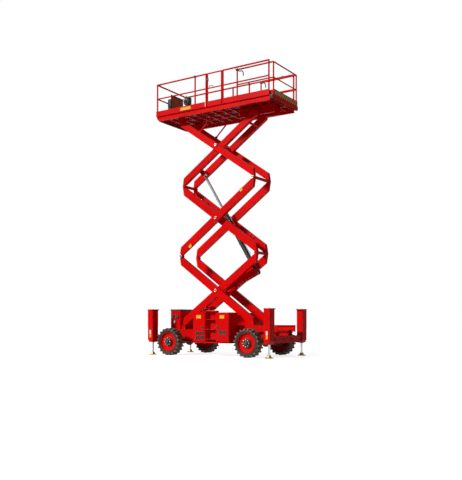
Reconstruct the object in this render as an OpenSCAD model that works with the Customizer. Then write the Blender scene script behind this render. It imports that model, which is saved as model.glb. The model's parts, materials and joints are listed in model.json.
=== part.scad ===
// Rough terrain aerial work platform: a scissor lift on four wheels with four outriggers.
// X runs along the machine (the steered, extension deck end is +X), Y across it, Z up; millimetres.
// The origin is on the ground under the middle of the machine. The scissors stand raised.

/* [Wheels and axles] */
// Distance between the axles
wheelbase = 2860; // [2600:10:3000]
// Overall width over the tyres
track_over = 2290; // [2200:10:2400]
// Tyre outside diameter, over the lugs
tyre_d = 845; // [800:5:900]
// Tyre width
tyre_w = 305; // [260:5:330]
// Depth of the tyre lugs
lug_h = 26; // [10:1:32]
// Number of lugs on each shoulder of a tyre
lug_count = 20; // [14:1:26]
// Rim diameter at the tyre bead
rim_d = 590; // [540:5:610]
// Hub diameter
hub_d = 270; // [200:5:300]
// Distance of the kingpins inside the wheels' middle plane
kingpin_in = 232.5; // [220:2.5:260]
// Axle tube diameter
axle_d = 130; // [100:5:150]

/* [Chassis] */
// Underside of the chassis rails
rail_z0 = 420; // [380:5:450]
// Top of the chassis rails
rail_z1 = 800; // [760:5:805]
// Inner face of the chassis rails
rail_y0 = 300; // [280:5:320]
// Outer face of the chassis rails
rail_y1 = 470; // [440:5:480]
// Wall of the chassis rails
rail_wall = 10; // [6:1:16]

/* [Outriggers] */
// Distance of the outrigger legs from the middle, along the machine
leg_x = 2125; // [2105:5:2150]
// Distance of the outrigger legs inside the outer faces of the tyres
leg_in = 145; // [135:5:165]
// Housing size along the machine
housing_x = 200; // [160:5:220]
// Housing size across the machine
housing_y = 270; // [230:5:280]
// Underside of the housings
housing_z0 = 400; // [390:5:420]
// Top of the housings
housing_z1 = 1400; // [1300:5:1450]
// Diameter of the leg rods
leg_d = 70; // [50:1:80]
// Diameter of the foot pads
pad_d = 250; // [200:5:260]
// Width of the outrigger cross beams
out_beam_w = 150; // [120:5:160]
// Height of the outrigger cross beams
out_beam_h = 210; // [160:5:220]

/* [Hoods] */
// Distance of the hoods inside the outer faces of the tyres
hood_in = 100; // [85:5:125]
// Depth of the hoods across the machine
hood_depth = 439; // [410:1:450]
// Underside of the side hoods
hood_z0 = 440; // [430:5:470]
// Top of the side hoods
hood_z1 = 1320; // [1280:5:1340]
// Left end of the hoods
hood_x0 = -520; // [-540:5:-480]
// Left side of the ladder recess
recess_x0 = -70; // [-100:5:-40]
// Right side of the ladder recess
recess_x1 = 320; // [280:5:340]
// Right end of the hoods
hood_x1 = 790; // [760:5:800]
// Sheet thickness of hoods and doors
sheet = 6; // [4:1:8]
// Clearance round a door
door_gap = 6; // [5:1:10]

/* [Scissors] */
// Distance from an arm's centre pin to its end pins
arm_r = 1740; // [1700:5:1760]
// Depth of the lower and middle arms
arm_h = 226; // [200:2:230]
// Depth of the top arms
arm3_h = 200; // [170:2:210]
// Thickness of an arm
arm_t = 120; // [100:2:124]
// Gap between the outer and the inner arms
arm_gap = 35; // [33:1:40]
// Outer face of the outer arms, from the centre plane
arm_y = 500; // [495:1:505]
// Offset of the end pins from an arm's middle line
pin_off = 120; // [118:1:130]
// How far the top arms' middle line lies below their centre pin
arm3_drop = 45; // [30:1:50]
// Distance from the top arms' centre pin to their upper pins
top_pin_u = 1560; // [1540:5:1600]
// Height of the lowest pins
base_pin_z = 882.5; // [880:0.5:890]
// Place of the fixed lower pivot along the machine
base_pin_x = -1392; // [-1400:1:-1380]
// Rest angle of the line through an arm's pins
rest_angle = 40; // [38:0.5:42]
// Radius of the end bosses
boss_r = 50; // [44:1:54]
// Radius of the knee pins
pin_r = 28; // [20:1:32]
// Radius of the centre pins
centre_r = 40; // [30:1:44]
// Radial clearance of pins in their holes
pin_fit = 0.5; // [0.3:0.1:1]

/* [Lift cylinder] */
// Lower pivot of the cylinder, to the right of the lower centre pin
cyl_dx = 1177.1; // [1170:0.1:1185]
// Height of the lower pivot over the lower centre pin
cyl_dz = 553; // [545:1:560]
// Eye of the rod, to the right of the middle centre pin
eye_dx = -770.9; // [-780:0.1:-760]
// Height of the rod's eye over the middle centre pin
eye_dz = 1492.1; // [1485:0.1:1500]
// Barrel diameter
barrel_d = 140; // [120:2:146]
// Barrel length
barrel_l = 2190; // [2150:5:2190]
// Rod diameter
rod_d = 80; // [60:2:90]
// Rod length
rod_l = 2210; // [2205:5:2215]

/* [Platform] */
// Left end of the guard rails
plat_x0 = -2170; // [-2200:5:-2150]
// Right end of the main guard rails
plat_x1 = 2000; // [1980:5:2005]
// Half width over the guard rails
plat_y = 788; // [770:2:800]
// Height of the side beams' underside over the top pins
beam_over_pins = 117; // [112:1:127]
// Height of the side beams
beam_h = 160; // [140:5:180]
// How far the deck sheet lies below the top of the side beams
deck_drop = 48; // [44:1:50]
// Height of the toe boards
toe_h = 160; // [140:5:180]
// Height of the middle rail over the side beams
mid_rail_h = 560; // [520:5:600]
// Height of the top rail over the side beams
top_rail_h = 1008; // [960:2:1040]
// Rail tube diameter
tube_d = 48; // [40:1:52]
// Left gate post
gate_x0 = -237; // [-250:1:-220]
// Right gate post
gate_x1 = 382; // [360:1:400]
// Inner post of the extension
ext_x0 = 852; // [840:2:870]
// Right end of the extension
ext_x1 = 2118; // [2110:1:2125]

/* [Output] */
// Node to draw

/* [Hidden] */
$fn = 48;
RED = [0.80, 0.05, 0.05];
DARK = [0.10, 0.10, 0.11];
STEEL = [0.72, 0.72, 0.74];
ZINC = [0.72, 0.60, 0.30];
BLACK = [0.04, 0.04, 0.04];
AMBER = [0.95, 0.62, 0.08];

axle_x = wheelbase / 2;
wheel_z = tyre_d / 2;
wheel_y = track_over / 2 - tyre_w / 2;
tyre_in_y = wheel_y - tyre_w / 2;
kingpin_y = wheel_y - kingpin_in;
leg_y = track_over / 2 - leg_in;
hood_y1 = track_over / 2 - hood_in;
hood_y0 = hood_y1 - hood_depth;
rail_half = leg_x - out_beam_w / 2 - 0.5;
// Seam between pieces of one body
seam = 0.4;

outer_y1 = arm_y;
outer_y0 = outer_y1 - arm_t;
inner_y1 = outer_y0 - arm_gap;
inner_y0 = inner_y1 - arm_t;
end_u = sqrt(pow(arm_r, 2) - pow(pin_off, 2));
pin3_off = pin_off + arm3_drop;
end3_u = sqrt(pow(arm_r, 2) - pow(pin3_off, 2));
tilt = [for (off = [pin_off, pin_off, pin3_off]) rest_angle - asin(off / arm_r)];
mid_x = base_pin_x + arm_r * cos(rest_angle);
mid_arm_z = [for (k = [0:2]) base_pin_z + (2 * k + 1) * arm_r * sin(rest_angle)];
lap_clear = 8;
lap_gap = 1;

// Upper pins of the top arms, at rest: the fixed pair on the left and the rolling pair on the right
top_dx = top_pin_u * cos(tilt[2]) + arm3_drop * sin(tilt[2]);
top_pin_z = mid_arm_z[2] + top_pin_u * sin(tilt[2]) - arm3_drop * cos(tilt[2]);
top_fix_x = mid_x - top_dx;
top_roll_x = mid_x + top_dx;

// Heights of the platform
beam_z0 = top_pin_z + beam_over_pins;
beam_z1 = beam_z0 + beam_h;
deck_z = beam_z1 - deck_drop;
rib_h = 53;
rib_z0 = deck_z - 7 - rib_h;
toe_z = beam_z1 + toe_h;
mid_z = beam_z1 + mid_rail_h;
top_z = beam_z1 + top_rail_h;

// Lift cylinder line, seen from the near side
cyl_x = mid_x + cyl_dx;
cyl_z = mid_arm_z[0] + cyl_dz;
eye_x = mid_x + eye_dx;
eye_z = mid_arm_z[1] + eye_dz;
cyl_angle = atan2(eye_z - cyl_z, eye_x - cyl_x);
cyl_len = norm([eye_x - cyl_x, eye_z - cyl_z]);
fork_y = 62;
fork_t = 22;

// Helpers
module both_sides() {
    children();
    mirror([0, 1, 0]) children();
}

module both_ends() {
    children();
    mirror([1, 0, 0]) children();
}

// A side view outline, given some thickness across the machine
module across(y0, y1) {
    translate([0, y1, 0]) rotate([90, 0, 0]) linear_extrude(y1 - y0) children();
}

// A round bar across the machine, at a place in the side view
module bar_y(x, z, r, y0, y1) {
    translate([x, y1, z]) rotate([90, 0, 0]) cylinder(r = r, h = y1 - y0);
}

module box(x0, x1, y0, y1, z0, z1) {
    translate([x0, y0, z0]) cube([x1 - x0, y1 - y0, z1 - z0]);
}

module tube_x(x0, x1, y, z, d) {
    translate([x0, y, z]) rotate([0, 90, 0]) cylinder(d = d, h = x1 - x0);
}

module tube_z(x, y, z0, z1, d) {
    translate([x, y, z0]) cylinder(d = d, h = z1 - z0);
}

// Place of a stage of arms: k counts up from 0, and the arm rises to the right or to the left
module stage(k, rises_right) {
    translate([mid_x, 0, mid_arm_z[k]])
        if (rises_right)
            rotate([0, -tilt[k], 0]) children();
        else
            mirror([1, 0, 0]) rotate([0, -tilt[k], 0]) children();
}

// Scissor arms
module lower_outline() {
    h = arm_h / 2;
    end_cut = 166;
    polygon([[-end_u + boss_r, -h], [end_u - end_cut, -h], [end_u + 0.75 * boss_r, pin_off - 0.66 * boss_r],
             [end_u, pin_off], [end_u - boss_r, h], [-end_u + end_cut, h],
             [-end_u - 0.75 * boss_r, -pin_off + 0.66 * boss_r], [-end_u, -pin_off]]);
    for (s = [-1, 1]) translate([s * end_u, s * pin_off]) circle(boss_r);
}

module top_outline() {
    z1 = arm3_h / 2 - arm3_drop;
    z0 = z1 - arm3_h;
    end_cut = 140;
    tip = 75;
    polygon([[-end3_u + boss_r, z0], [top_pin_u - 20, z0], [top_pin_u + tip, -arm3_drop],
             [top_pin_u + 20, z1], [-end3_u + end_cut, z1],
             [-end3_u - 0.75 * boss_r, -pin3_off + 0.66 * boss_r], [-end3_u, -pin3_off]]);
    translate([-end3_u, -pin3_off]) circle(boss_r);
}

// One arm on the far side, with half of its thickness cleared where it laps another at a knee
module arm(k, y0, y1, lap_low, lap_high) {
    lo = k == 2 ? [-end3_u, -pin3_off] : [-end_u, -pin_off];
    hi = [end_u, pin_off];
    ym = (y0 + y1) / 2;
    difference() {
        across(y0, y1) if (k == 2) top_outline(); else lower_outline();
        if (lap_low) {
            bar_y(lo.x, lo.y, boss_r + lap_clear, y0 - 1, ym + lap_gap / 2);
            bar_y(lo.x, lo.y, pin_r + pin_fit, ym - 1, y1 + 1);
        }
        if (lap_high)
            bar_y(hi.x, hi.y, boss_r + lap_clear, ym - lap_gap / 2, y1 + 1);
    }
    if (lap_high) {
        bar_y(hi.x, hi.y, pin_r, y0, y1 + lap_gap);
        bar_y(hi.x, hi.y, pin_r + 14, y1 + lap_gap, y1 + lap_gap + 12);
    }
}

// Outer arms carry the centre pin, the inner arms turn on it
module outer_arm(k, lap_low, lap_high) {
    arm(k, outer_y0, outer_y1, lap_low, lap_high);
    bar_y(0, 0, centre_r, inner_y0 + 2, outer_y1);
    bar_y(0, 0, centre_r + 22, outer_y1 - 1, outer_y1 + 16);
    bar_y(0, 0, centre_r + 22, outer_y0 - 10, outer_y0 + 1);
}

module inner_arm(k, lap_low, lap_high) {
    difference() {
        arm(k, inner_y0, inner_y1, lap_low, lap_high);
        bar_y(0, 0, centre_r + pin_fit, inner_y0 - 1, inner_y1 + 1);
    }
}

roller_r = 45;
roller_w = 40;
roller_pin_r = 22;
roller_gap = 8;
pivot_r = 25;
pivot_t = 18;
pivot_gap = 8;
pivot_half = 80;
slide_tube_r = 40;
cross_r = 45;
centre_tube_r = 55;
brace_u = 1000;
brace_1_u = 400;
block_u = -710;
brace_3_u = 1215;
cyl_pin_r = 29.5;

module outer_arms_1() {
    color(RED) stage(0, false) {
        both_sides() {
            outer_arm(0, false, true);
            bar_y(-end_u, -pin_off, roller_pin_r, outer_y1 - 1, outer_y1 + roller_gap + roller_w);
        }
        bar_y(-end_u, -pin_off, slide_tube_r, -outer_y0 - 1, outer_y0 + 1);
    }
}

module lower_rollers() {
    color(DARK) stage(0, false) both_sides() difference() {
        bar_y(-end_u, -pin_off, roller_r, outer_y1 + roller_gap, outer_y1 + roller_gap + roller_w);
        bar_y(-end_u, -pin_off, roller_pin_r + 0.2, outer_y1, outer_y1 + roller_gap + roller_w + 1);
    }
}

// Side view of the cylinder's base bracket, in the lower inner arms' own frame
cyl_local = let (d = [cyl_x - mid_x, cyl_z - mid_arm_z[0]], t = tilt[0])
    [d.x * cos(t) + d.y * sin(t), -d.x * sin(t) + d.y * cos(t)];

module cylinder_bracket() {
    eye = 78;
    across(fork_y + 10, fork_y + 10 + fork_t) difference() {
        union() {
            polygon([[-centre_tube_r, 0], [0, -centre_tube_r - 20],
                     [cyl_local.x - 60, cyl_local.y - eye + 15],
                     [cyl_local.x + eye - 10, cyl_local.y + 30], [cyl_local.x + 20, cyl_local.y + 130],
                     [brace_1_u + 20, 10], [0, centre_tube_r]]);
            translate(cyl_local) circle(eye);
        }
        translate(cyl_local) circle(cyl_pin_r + pin_fit);
    }
}

module inner_arms_1() {
    color(RED) stage(0, true) {
        both_sides() {
            inner_arm(0, false, true);
            bar_y(-end_u, -pin_off, pivot_r, inner_y0 - pivot_gap - pivot_t - 4, inner_y0 + 1);
            bar_y(-end_u, -pin_off, pivot_r, inner_y1 - 1, inner_y1 + pivot_gap + pivot_t);
            cylinder_bracket();
        }
        bar_y(0, 0, centre_tube_r, -inner_y0 - 1, inner_y0 + 1);
        bar_y(-brace_u, 0, cross_r, -inner_y0 - 1, inner_y0 + 1);
        bar_y(end_u, pin_off, cross_r, -inner_y0 - 1, inner_y0 + 1);
        bar_y(brace_1_u, -60, cross_r, -inner_y0 - 1, inner_y0 + 1);
        // Block under the arms, on its own bar
        bar_y(block_u, -arm_h / 2 - 22, 38, -inner_y0 - 1, inner_y0 + 1);
        box(block_u - 50, block_u + 50, -60, 60, -arm_h / 2 - 110, -arm_h / 2 + 10);
    }
}

module outer_arms_2() {
    color(RED) stage(1, true) {
        both_sides() outer_arm(1, true, true);
        bar_y(end_u, pin_off, cross_r, -outer_y0 - 1, outer_y0 + 1);
    }
}

module inner_arms_2() {
    color(RED) stage(1, false) {
        both_sides() inner_arm(1, true, true);
        bar_y(end_u, pin_off, cross_r, -inner_y0 - 1, inner_y0 + 1);
        bar_y(brace_u, 0, cross_r, -inner_y0 - 1, inner_y0 + 1);
    }
}

module outer_arms_3() {
    color(RED) stage(2, false) both_sides() {
        outer_arm(2, true, false);
        bar_y(top_pin_u, -arm3_drop, pivot_r, outer_y0 - pivot_gap - pivot_t, outer_y0 + 1);
        bar_y(top_pin_u, -arm3_drop, pivot_r, outer_y1 - 1, outer_y1 + pivot_gap + pivot_t + 4);
        prop_lugs();
    }
}

// Deck props, hinged on lugs on the top outer arms
prop_u = 800;
prop_v = arm3_h / 2 - arm3_drop + 30;
prop_l = 600;
prop_angle = 102.6;
prop_y = (outer_y0 + outer_y1) / 2;
prop_t = 28;
prop_h = 36;
prop_pin_r = 10;

module prop_lugs() {
    for (s = [-1, 1])
        across(prop_y + s * 27 - 10, prop_y + s * 27 + 10) difference() {
            union() {
                translate([prop_u, prop_v]) circle(20);
                translate([prop_u - 30, prop_v - 50]) square([60, 45]);
            }
            translate([prop_u, prop_v]) circle(prop_pin_r + pin_fit);
        }
}

module deck_props() {
    color(RED) stage(2, false) both_sides() {
        translate([prop_u, prop_y, prop_v]) rotate([0, -prop_angle, 0]) {
            translate([-14, -prop_t / 2, -prop_h / 2]) cube([prop_l, prop_t, prop_h]);
            rotate([90, 0, 0]) cylinder(r = prop_pin_r, h = 2 * 37, center = true);
        }
    }
}

eye_local = let (d = [eye_x - mid_x, eye_z - mid_arm_z[2]], t = tilt[2])
    [d.x * cos(t) + d.y * sin(t), -d.x * sin(t) + d.y * cos(t)];

module inner_arms_3() {
    lug = 52;
    color(RED) stage(2, true) {
        both_sides() {
            inner_arm(2, true, false);
            bar_y(top_pin_u, -arm3_drop, roller_pin_r, inner_y0 - roller_gap - roller_w, inner_y0 + 1);
            across(fork_y, fork_y + fork_t) difference() {
                union() {
                    polygon([[eye_local.x - lug, eye_local.y], [eye_local.x + lug, eye_local.y],
                             [eye_local.x + 80, -arm3_drop], [eye_local.x - 80, -arm3_drop]]);
                    translate(eye_local) circle(lug);
                }
                translate(eye_local) circle(pin_r + pin_fit);
            }
        }
        bar_y(eye_local.x, -arm3_drop, cross_r, -inner_y0 - 1, inner_y0 + 1);
        bar_y(0, 0, centre_tube_r, -inner_y0 - 1, inner_y0 + 1);
        bar_y(brace_3_u, -arm3_drop - arm3_h / 2 - 5, 36, -inner_y0 - 1, inner_y0 + 1);
    }
}

module upper_rollers() {
    color(DARK) stage(2, true) both_sides() difference() {
        bar_y(top_pin_u, -arm3_drop, roller_r, inner_y0 - roller_gap - roller_w, inner_y0 - roller_gap);
        bar_y(top_pin_u, -arm3_drop, roller_pin_r + 0.2, inner_y0 - roller_gap - roller_w - 1, inner_y0);
    }
}

// Lift cylinder, drawn along its own line from the lower pivot
module along_cylinder() {
    translate([cyl_x, 0, cyl_z]) rotate([0, 90 - cyl_angle, 0]) children();
}

module cylinder_barrel() {
    eye_r = 60;
    bore = rod_d + 12;
    color(DARK) along_cylinder() difference() {
        union() {
            translate([0, 0, 70]) cylinder(d = barrel_d, h = barrel_l - 70);
            translate([0, 0, barrel_l - 90]) cylinder(d = barrel_d + 14, h = 90);
            bar_y(0, 0, eye_r, -fork_y + 10, fork_y - 10);
            box(-45, 45, -fork_y + 10, fork_y - 10, 0, 80);
            bar_y(0, 0, cyl_pin_r, -fork_y - 8 - fork_t, fork_y + 8 + fork_t);
        }
        translate([0, 0, 76]) cylinder(d = bore, h = barrel_l);
    }
    color(DARK) along_cylinder() translate([0, 0, barrel_l - 40]) difference() {
        cylinder(d = bore + 2, h = 40);
        translate([0, 0, -1]) cylinder(d = rod_d + 1, h = 42);
    }
}

module cylinder_rod() {
    eye_r = 58;
    color(STEEL) along_cylinder() {
        translate([0, 0, cyl_len - rod_l]) cylinder(d = rod_d, h = rod_l - 40);
        bar_y(0, cyl_len, eye_r, -fork_y + 12, fork_y - 12);
        bar_y(0, cyl_len, pin_r, -fork_y + 3, fork_y - 3);
    }
}

// Chassis
axle_seat = 20;
track_floor_z = base_pin_z - roller_r - 1;
track_top_z = base_pin_z + roller_r + 1;
track_x0 = 470;
track_x1 = 2140;
track_y0 = outer_y1 + 5;
track_y1 = outer_y1 + roller_gap + roller_w + 22;
track_t = 12;

module chassis_rail() {
    difference() {
        box(-rail_half, rail_half, rail_y0, rail_y1, rail_z0, rail_z1);
        box(-rail_half - 1, rail_half + 1, rail_y0 + rail_wall, rail_y1 - rail_wall,
            rail_z0 + rail_wall, rail_z1 - rail_wall);
        // Arched relief over each axle
        both_ends() bar_y(axle_x, wheel_z, axle_d / 2 + axle_seat, rail_y0 - 1, rail_y1 + 1);
    }
}

module base_pivot_outline() {
    difference() {
        union() {
            translate([base_pin_x - pivot_half, rail_z1 - 120]) square([2 * pivot_half, 130]);
            polygon([[base_pin_x - pivot_half, rail_z1], [base_pin_x + pivot_half, rail_z1],
                     [base_pin_x + 50, base_pin_z + 20], [base_pin_x - 50, base_pin_z + 20]]);
            translate([base_pin_x, base_pin_z]) circle(pivot_r + 30);
        }
        translate([base_pin_x, base_pin_z]) circle(pivot_r + pin_fit);
    }
}

module chassis_frame() {
    cross_t = 120;
    cross_z1 = 640;
    plate_z = 80;
    color(RED) {
        both_sides() {
            chassis_rail();
            // Roller track on an outrigger shelf along the rail
            difference() {
                box(track_x0, track_x1, rail_y1 - 1, track_y1, rail_z1 - 60, track_top_z + track_t);
                box(track_x0 - 1, track_x1 + 1, track_y0, track_y1 - track_t, track_floor_z, track_top_z);
                box(track_x0 - 1, track_x1 + 1, rail_y1 - 2, track_y0, rail_z1, track_top_z + track_t + 1);
            }
            // Pivot plates of the fixed arm ends
            for (y = [inner_y0 - pivot_gap - pivot_t, inner_y1 + pivot_gap])
                across(y, y + pivot_t) base_pivot_outline();
            box(base_pin_x - pivot_half, base_pin_x + pivot_half, inner_y0 - pivot_gap - pivot_t, rail_y0 + 2,
                rail_z1 - 120, rail_z1 - 60);
            // Shelf that carries the hoods
            box(hood_x0, hood_x1, rail_y1 - 1, hood_y1 - 20, hood_z0 - plate_z / 2, hood_z0 - seam);
            for (x = [hood_x0 + 60, recess_x0, recess_x1, hood_x1 - 60])
                across_gusset(x);
        }
        // End ties and cross members
        both_ends() box(rail_half - 40, rail_half, -rail_y0 - 1, rail_y0 + 1, rail_z1 - 100, rail_z1 - 20);
        for (x = [-1000, 0, 1000])
            box(x - cross_t / 2, x + cross_t / 2, -rail_y0 - 1, rail_y0 + 1, rail_z0 + 20, cross_z1);
    }
}

// A triangular gusset from the rail out over the hood shelf
module across_gusset(x) {
    translate([x - 6, 0, 0]) rotate([90, 0, 90]) linear_extrude(12)
        polygon([[rail_y1 - 1, hood_z0 - 1], [hood_y0 - 12, hood_z0 - 1], [rail_y1 - 1, rail_z1 - 80]]);
}

module axle_common(x) {
    translate([x, 0, wheel_z]) sphere(d = axle_d + 150);
    both_sides() bar_y(x, wheel_z, axle_d / 2 + axle_seat - seam, rail_y0 - 10, rail_y1 + 10);
}

hub_in_y = tyre_in_y + 20;

module fixed_axle() {
    color(DARK) {
        axle_common(-axle_x);
        bar_y(-axle_x, wheel_z, axle_d / 2, -hub_in_y + 0.5, hub_in_y - 0.5);
        both_sides() bar_y(-axle_x, wheel_z, axle_d / 2 + 35, tyre_in_y - 60, tyre_in_y - 10);
    }
}

// Steered axle, forked at each end round its knuckle
fork_h = 95;
fork_gap = 2;

module fork_outline() {
    difference() {
        union() {
            circle(50);
            polygon([[-50, 0], [50, 0], [60, -129], [-60, -129]]);
        }
        circle(25 + pin_fit);
    }
}

module steered_axle() {
    color(DARK) {
        axle_common(axle_x);
        bar_y(axle_x, wheel_z, axle_d / 2, -kingpin_y + 110, kingpin_y - 110);
        both_sides() {
            box(axle_x - 60, axle_x + 60, kingpin_y - 130, kingpin_y - 100, wheel_z - fork_h - 28,
                wheel_z + fork_h + 28);
            for (s = [-1, 1])
                translate([axle_x, kingpin_y, wheel_z + s * (fork_h + 14) - 14])
                    linear_extrude(28) fork_outline();
        }
    }
}

module knuckle(side) {
    color(DARK) mirror([0, side < 0 ? 1 : 0, 0]) {
        tube_z(axle_x, kingpin_y, wheel_z - fork_h + fork_gap, wheel_z + fork_h - fork_gap, 120);
        tube_z(axle_x, kingpin_y, wheel_z - fork_h - 30, wheel_z + fork_h + 30, 50);
        bar_y(axle_x, wheel_z, 62, kingpin_y, hub_in_y - 0.5);
        bar_y(axle_x, wheel_z, 88, kingpin_y + 70, kingpin_y + 90);
    }
}

module knuckle_near() { knuckle(-1); }

module knuckle_far() { knuckle(1); }

// Wheels, drawn at the far side of the machine and turned over for the near side
module at_wheel(sx, side) {
    translate([sx * axle_x, side * wheel_y, wheel_z])
        mirror([0, side < 0 ? 1 : 0, 0]) rotate([-90, 0, 0]) children();
}

module tyre(sx, side) {
    r = tyre_d / 2;
    w = tyre_w / 2;
    rr = rim_d / 2;
    body_r = r - lug_h;
    color(BLACK) at_wheel(sx, side) {
        rotate_extrude($fn = 64) polygon([[rr, -w + 40], [rr + 12, -w + 18], [rr + 40, -w], [body_r - 40, -w],
            [body_r - 4, -w + 28], [body_r, 0], [body_r - 4, w - 28], [body_r - 40, w], [rr + 40, w],
            [rr + 12, w - 18], [rr, w - 40]]);
        for (k = [0:lug_count - 1], s = [-1, 1])
            rotate([0, 0, (k + (s > 0 ? 0.5 : 0)) * 360 / lug_count])
                translate([body_r - 30, -26, s > 0 ? 4 : -w]) cube([lug_h + 30, 52, w - 4]);
    }
}

module rim(sx, side) {
    w = tyre_w / 2;
    rr = rim_d / 2 - seam;
    color(RED) at_wheel(sx, side) rotate_extrude($fn = 64)
        polygon([[rr, -w + 24], [rr, w - 24], [rr - 14, w - 24], [rr - 22, w - 70], [hub_d / 2 + 30, w - 80],
                 [hub_d / 2, w - 66], [hub_d / 2, w - 84], [hub_d / 2 + 24, w - 98], [rr - 34, w - 92],
                 [rr - 20, -w + 24]]);
}

module hub(sx, side) {
    w = tyre_w / 2;
    r = hub_d / 2 - 0.5;
    hub_in = hub_in_y - wheel_y;
    color(DARK) at_wheel(sx, side) rotate_extrude($fn = 48)
        polygon([[0, hub_in], [r - 20, hub_in], [r, hub_in + 20], [r, w - 40], [r - 25, w - 14], [70, w - 14],
                 [60, w - 4], [0, w - 4]]);
}

module tyre_fixed_near() { tyre(-1, -1); }
module rim_fixed_near() { rim(-1, -1); }
module hub_fixed_near() { hub(-1, -1); }
module tyre_fixed_far() { tyre(-1, 1); }
module rim_fixed_far() { rim(-1, 1); }
module hub_fixed_far() { hub(-1, 1); }
module tyre_steered_near() { tyre(1, -1); }
module rim_steered_near() { rim(1, -1); }
module hub_steered_near() { hub(1, -1); }
module tyre_steered_far() { tyre(1, 1); }
module rim_steered_far() { rim(1, 1); }
module hub_steered_far() { hub(1, 1); }

// Outriggers
cap_t = 30;

lash_y = 250;
lash_t = 25;
lash_r = 17;

module outrigger_frame(sx) {
    beam_h = out_beam_h;
    beam_w = out_beam_w;
    wall = 12;
    guide = leg_d + 1;
    plug = rail_wall + seam;
    x0 = leg_x - housing_x / 2;
    x1 = leg_x + housing_x / 2;
    y0 = leg_y - housing_y / 2;
    y1 = leg_y + housing_y / 2;
    slant = 80;
    boss = beam_h / 2 + 14;
    color(RED) mirror([sx < 0 ? 1 : 0, 0, 0]) {
        both_sides() difference() {
            union() {
                across(y0, y1) polygon([[x0, housing_z0], [leg_x + leg_d / 2 + 10, housing_z0],
                                        [x1, housing_z0 + slant], [x1, housing_z1], [x0, housing_z1]]);
                box(x0 - 5, x1 + 5, y0 - 50, y1 + 5, housing_z1, housing_z1 + cap_t);
            }
            box(x0 + wall, x1 - wall, y0 + wall, y1 - wall, housing_z0 + slant + 20, housing_z1);
            tube_z(leg_x, leg_y, housing_z0 - 1, housing_z0 + slant + 30, guide);
        }
        difference() {
            box(leg_x - beam_w / 2, leg_x + beam_w / 2, -y0 - 1, y0 + 1, rail_z0, rail_z0 + beam_h);
            box(leg_x - beam_w / 2 + wall, leg_x + beam_w / 2 - wall, -leg_y, leg_y, rail_z0 + wall,
                rail_z0 + beam_h - wall);
        }
        both_sides() {
            box(rail_half - 120, leg_x - beam_w / 2 + 1, rail_y0 + plug, rail_y1 - plug, rail_z0 + plug,
                rail_z0 + beam_h);
            bar_y(leg_x, rail_z0 + beam_h / 2, boss, y0 - 40, y0 + 1);
            // Lashing eye
            translate([leg_x + beam_w / 2, lash_y, rail_z0 + beam_h / 2 - lash_t / 2]) linear_extrude(lash_t)
                difference() {
                    translate([-1, -45]) square([47, 90]);
                    translate([22, 0]) circle(lash_r);
                }
        }
    }
}

module outrigger_frame_left() { outrigger_frame(-1); }
module outrigger_frame_right() { outrigger_frame(1); }

module leg(sx, side) {
    foot = 26;
    rod_top = 960;
    color(STEEL) translate([sx * leg_x, side * leg_y, 0]) rotate_extrude()
        polygon([[0, 0], [pad_d / 2, 0], [pad_d / 2, foot - 8], [pad_d / 2 - 20, foot], [70, foot],
                 [52, 84], [leg_d / 2, 92], [leg_d / 2, rod_top], [0, rod_top]]);
}

module leg_left_near() { leg(-1, -1); }
module leg_left_far() { leg(-1, 1); }
module leg_right_near() { leg(1, -1); }
module leg_right_far() { leg(1, 1); }

// Hoods, on the near side with a ladder between two boxes and on the far side over the engine
module hood_box(x0, x1, side) {
    lip = 24;
    mirror([0, side < 0 ? 1 : 0, 0]) difference() {
        box(x0, x1, hood_y0, hood_y1, hood_z0, hood_z1);
        box(x0 + sheet, x1 - sheet, hood_y0 + sheet, hood_y1 - sheet, hood_z0 + sheet, hood_z1 - sheet);
        box(x0 + lip, x1 - lip, hood_y1 - sheet - 1, hood_y1 + 1, hood_z0 + lip, hood_z1 - lip);
    }
}

module side_hoods() {
    color(RED) {
        hood_box(hood_x0, recess_x0, -1);
        hood_box(recess_x1, hood_x1, -1);
    }
}

module engine_hood() { color(RED) hood_box(hood_x0, hood_x1, 1); }

door_lip = 14;
door_y = hood_y1 + seam;
hinge_l = 90;

module hood_door(x0, x1, side) {
    mirror([0, side < 0 ? 1 : 0, 0])
        box(x0 + door_lip, x1 - door_lip, door_y, door_y + sheet, hood_z0 + door_lip, hood_z1 - door_lip);
}

// Hinge barrels of an upright door edge on the near side
module door_barrels(x) {
    for (z = [hood_z0 + 130, hood_z1 - 130 - hinge_l])
        tube_z(x, -door_y - sheet, z, z + hinge_l, 2 * sheet);
}

module tank_door() {
    color(RED) {
        hood_door(hood_x0, recess_x0, -1);
        door_barrels(hood_x0 + door_lip);
    }
}

module tank_door_vents() {
    vent = [130, 95, 10];
    y = door_y + sheet + seam;
    color(BLACK) for (x = [hood_x0 + 170, hood_x0 + 335], z = [hood_z0 + 125, hood_z0 + 260])
        box(x - vent.x / 2, x + vent.x / 2, -y - vent.z, -y, z - vent.y / 2, z + vent.y / 2);
}

module battery_door() {
    color(RED) {
        hood_door(recess_x1, hood_x1, -1);
        door_barrels(hood_x1 - door_lip);
    }
}

module engine_door() {
    color(RED) {
        hood_door(hood_x0, hood_x1, 1);
        for (x = [hood_x0 + 150, hood_x1 - 150 - hinge_l])
            tube_x(x, x + hinge_l, door_y + sheet, hood_z1 - door_lip, 2 * sheet);
    }
}

module engine_block() {
    color(DARK) box(hood_x0 + 140, hood_x1 - 370, hood_y0 + 60, hood_y1 - 90, hood_z0 + sheet + seam,
                    hood_z1 - 200);
}

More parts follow.
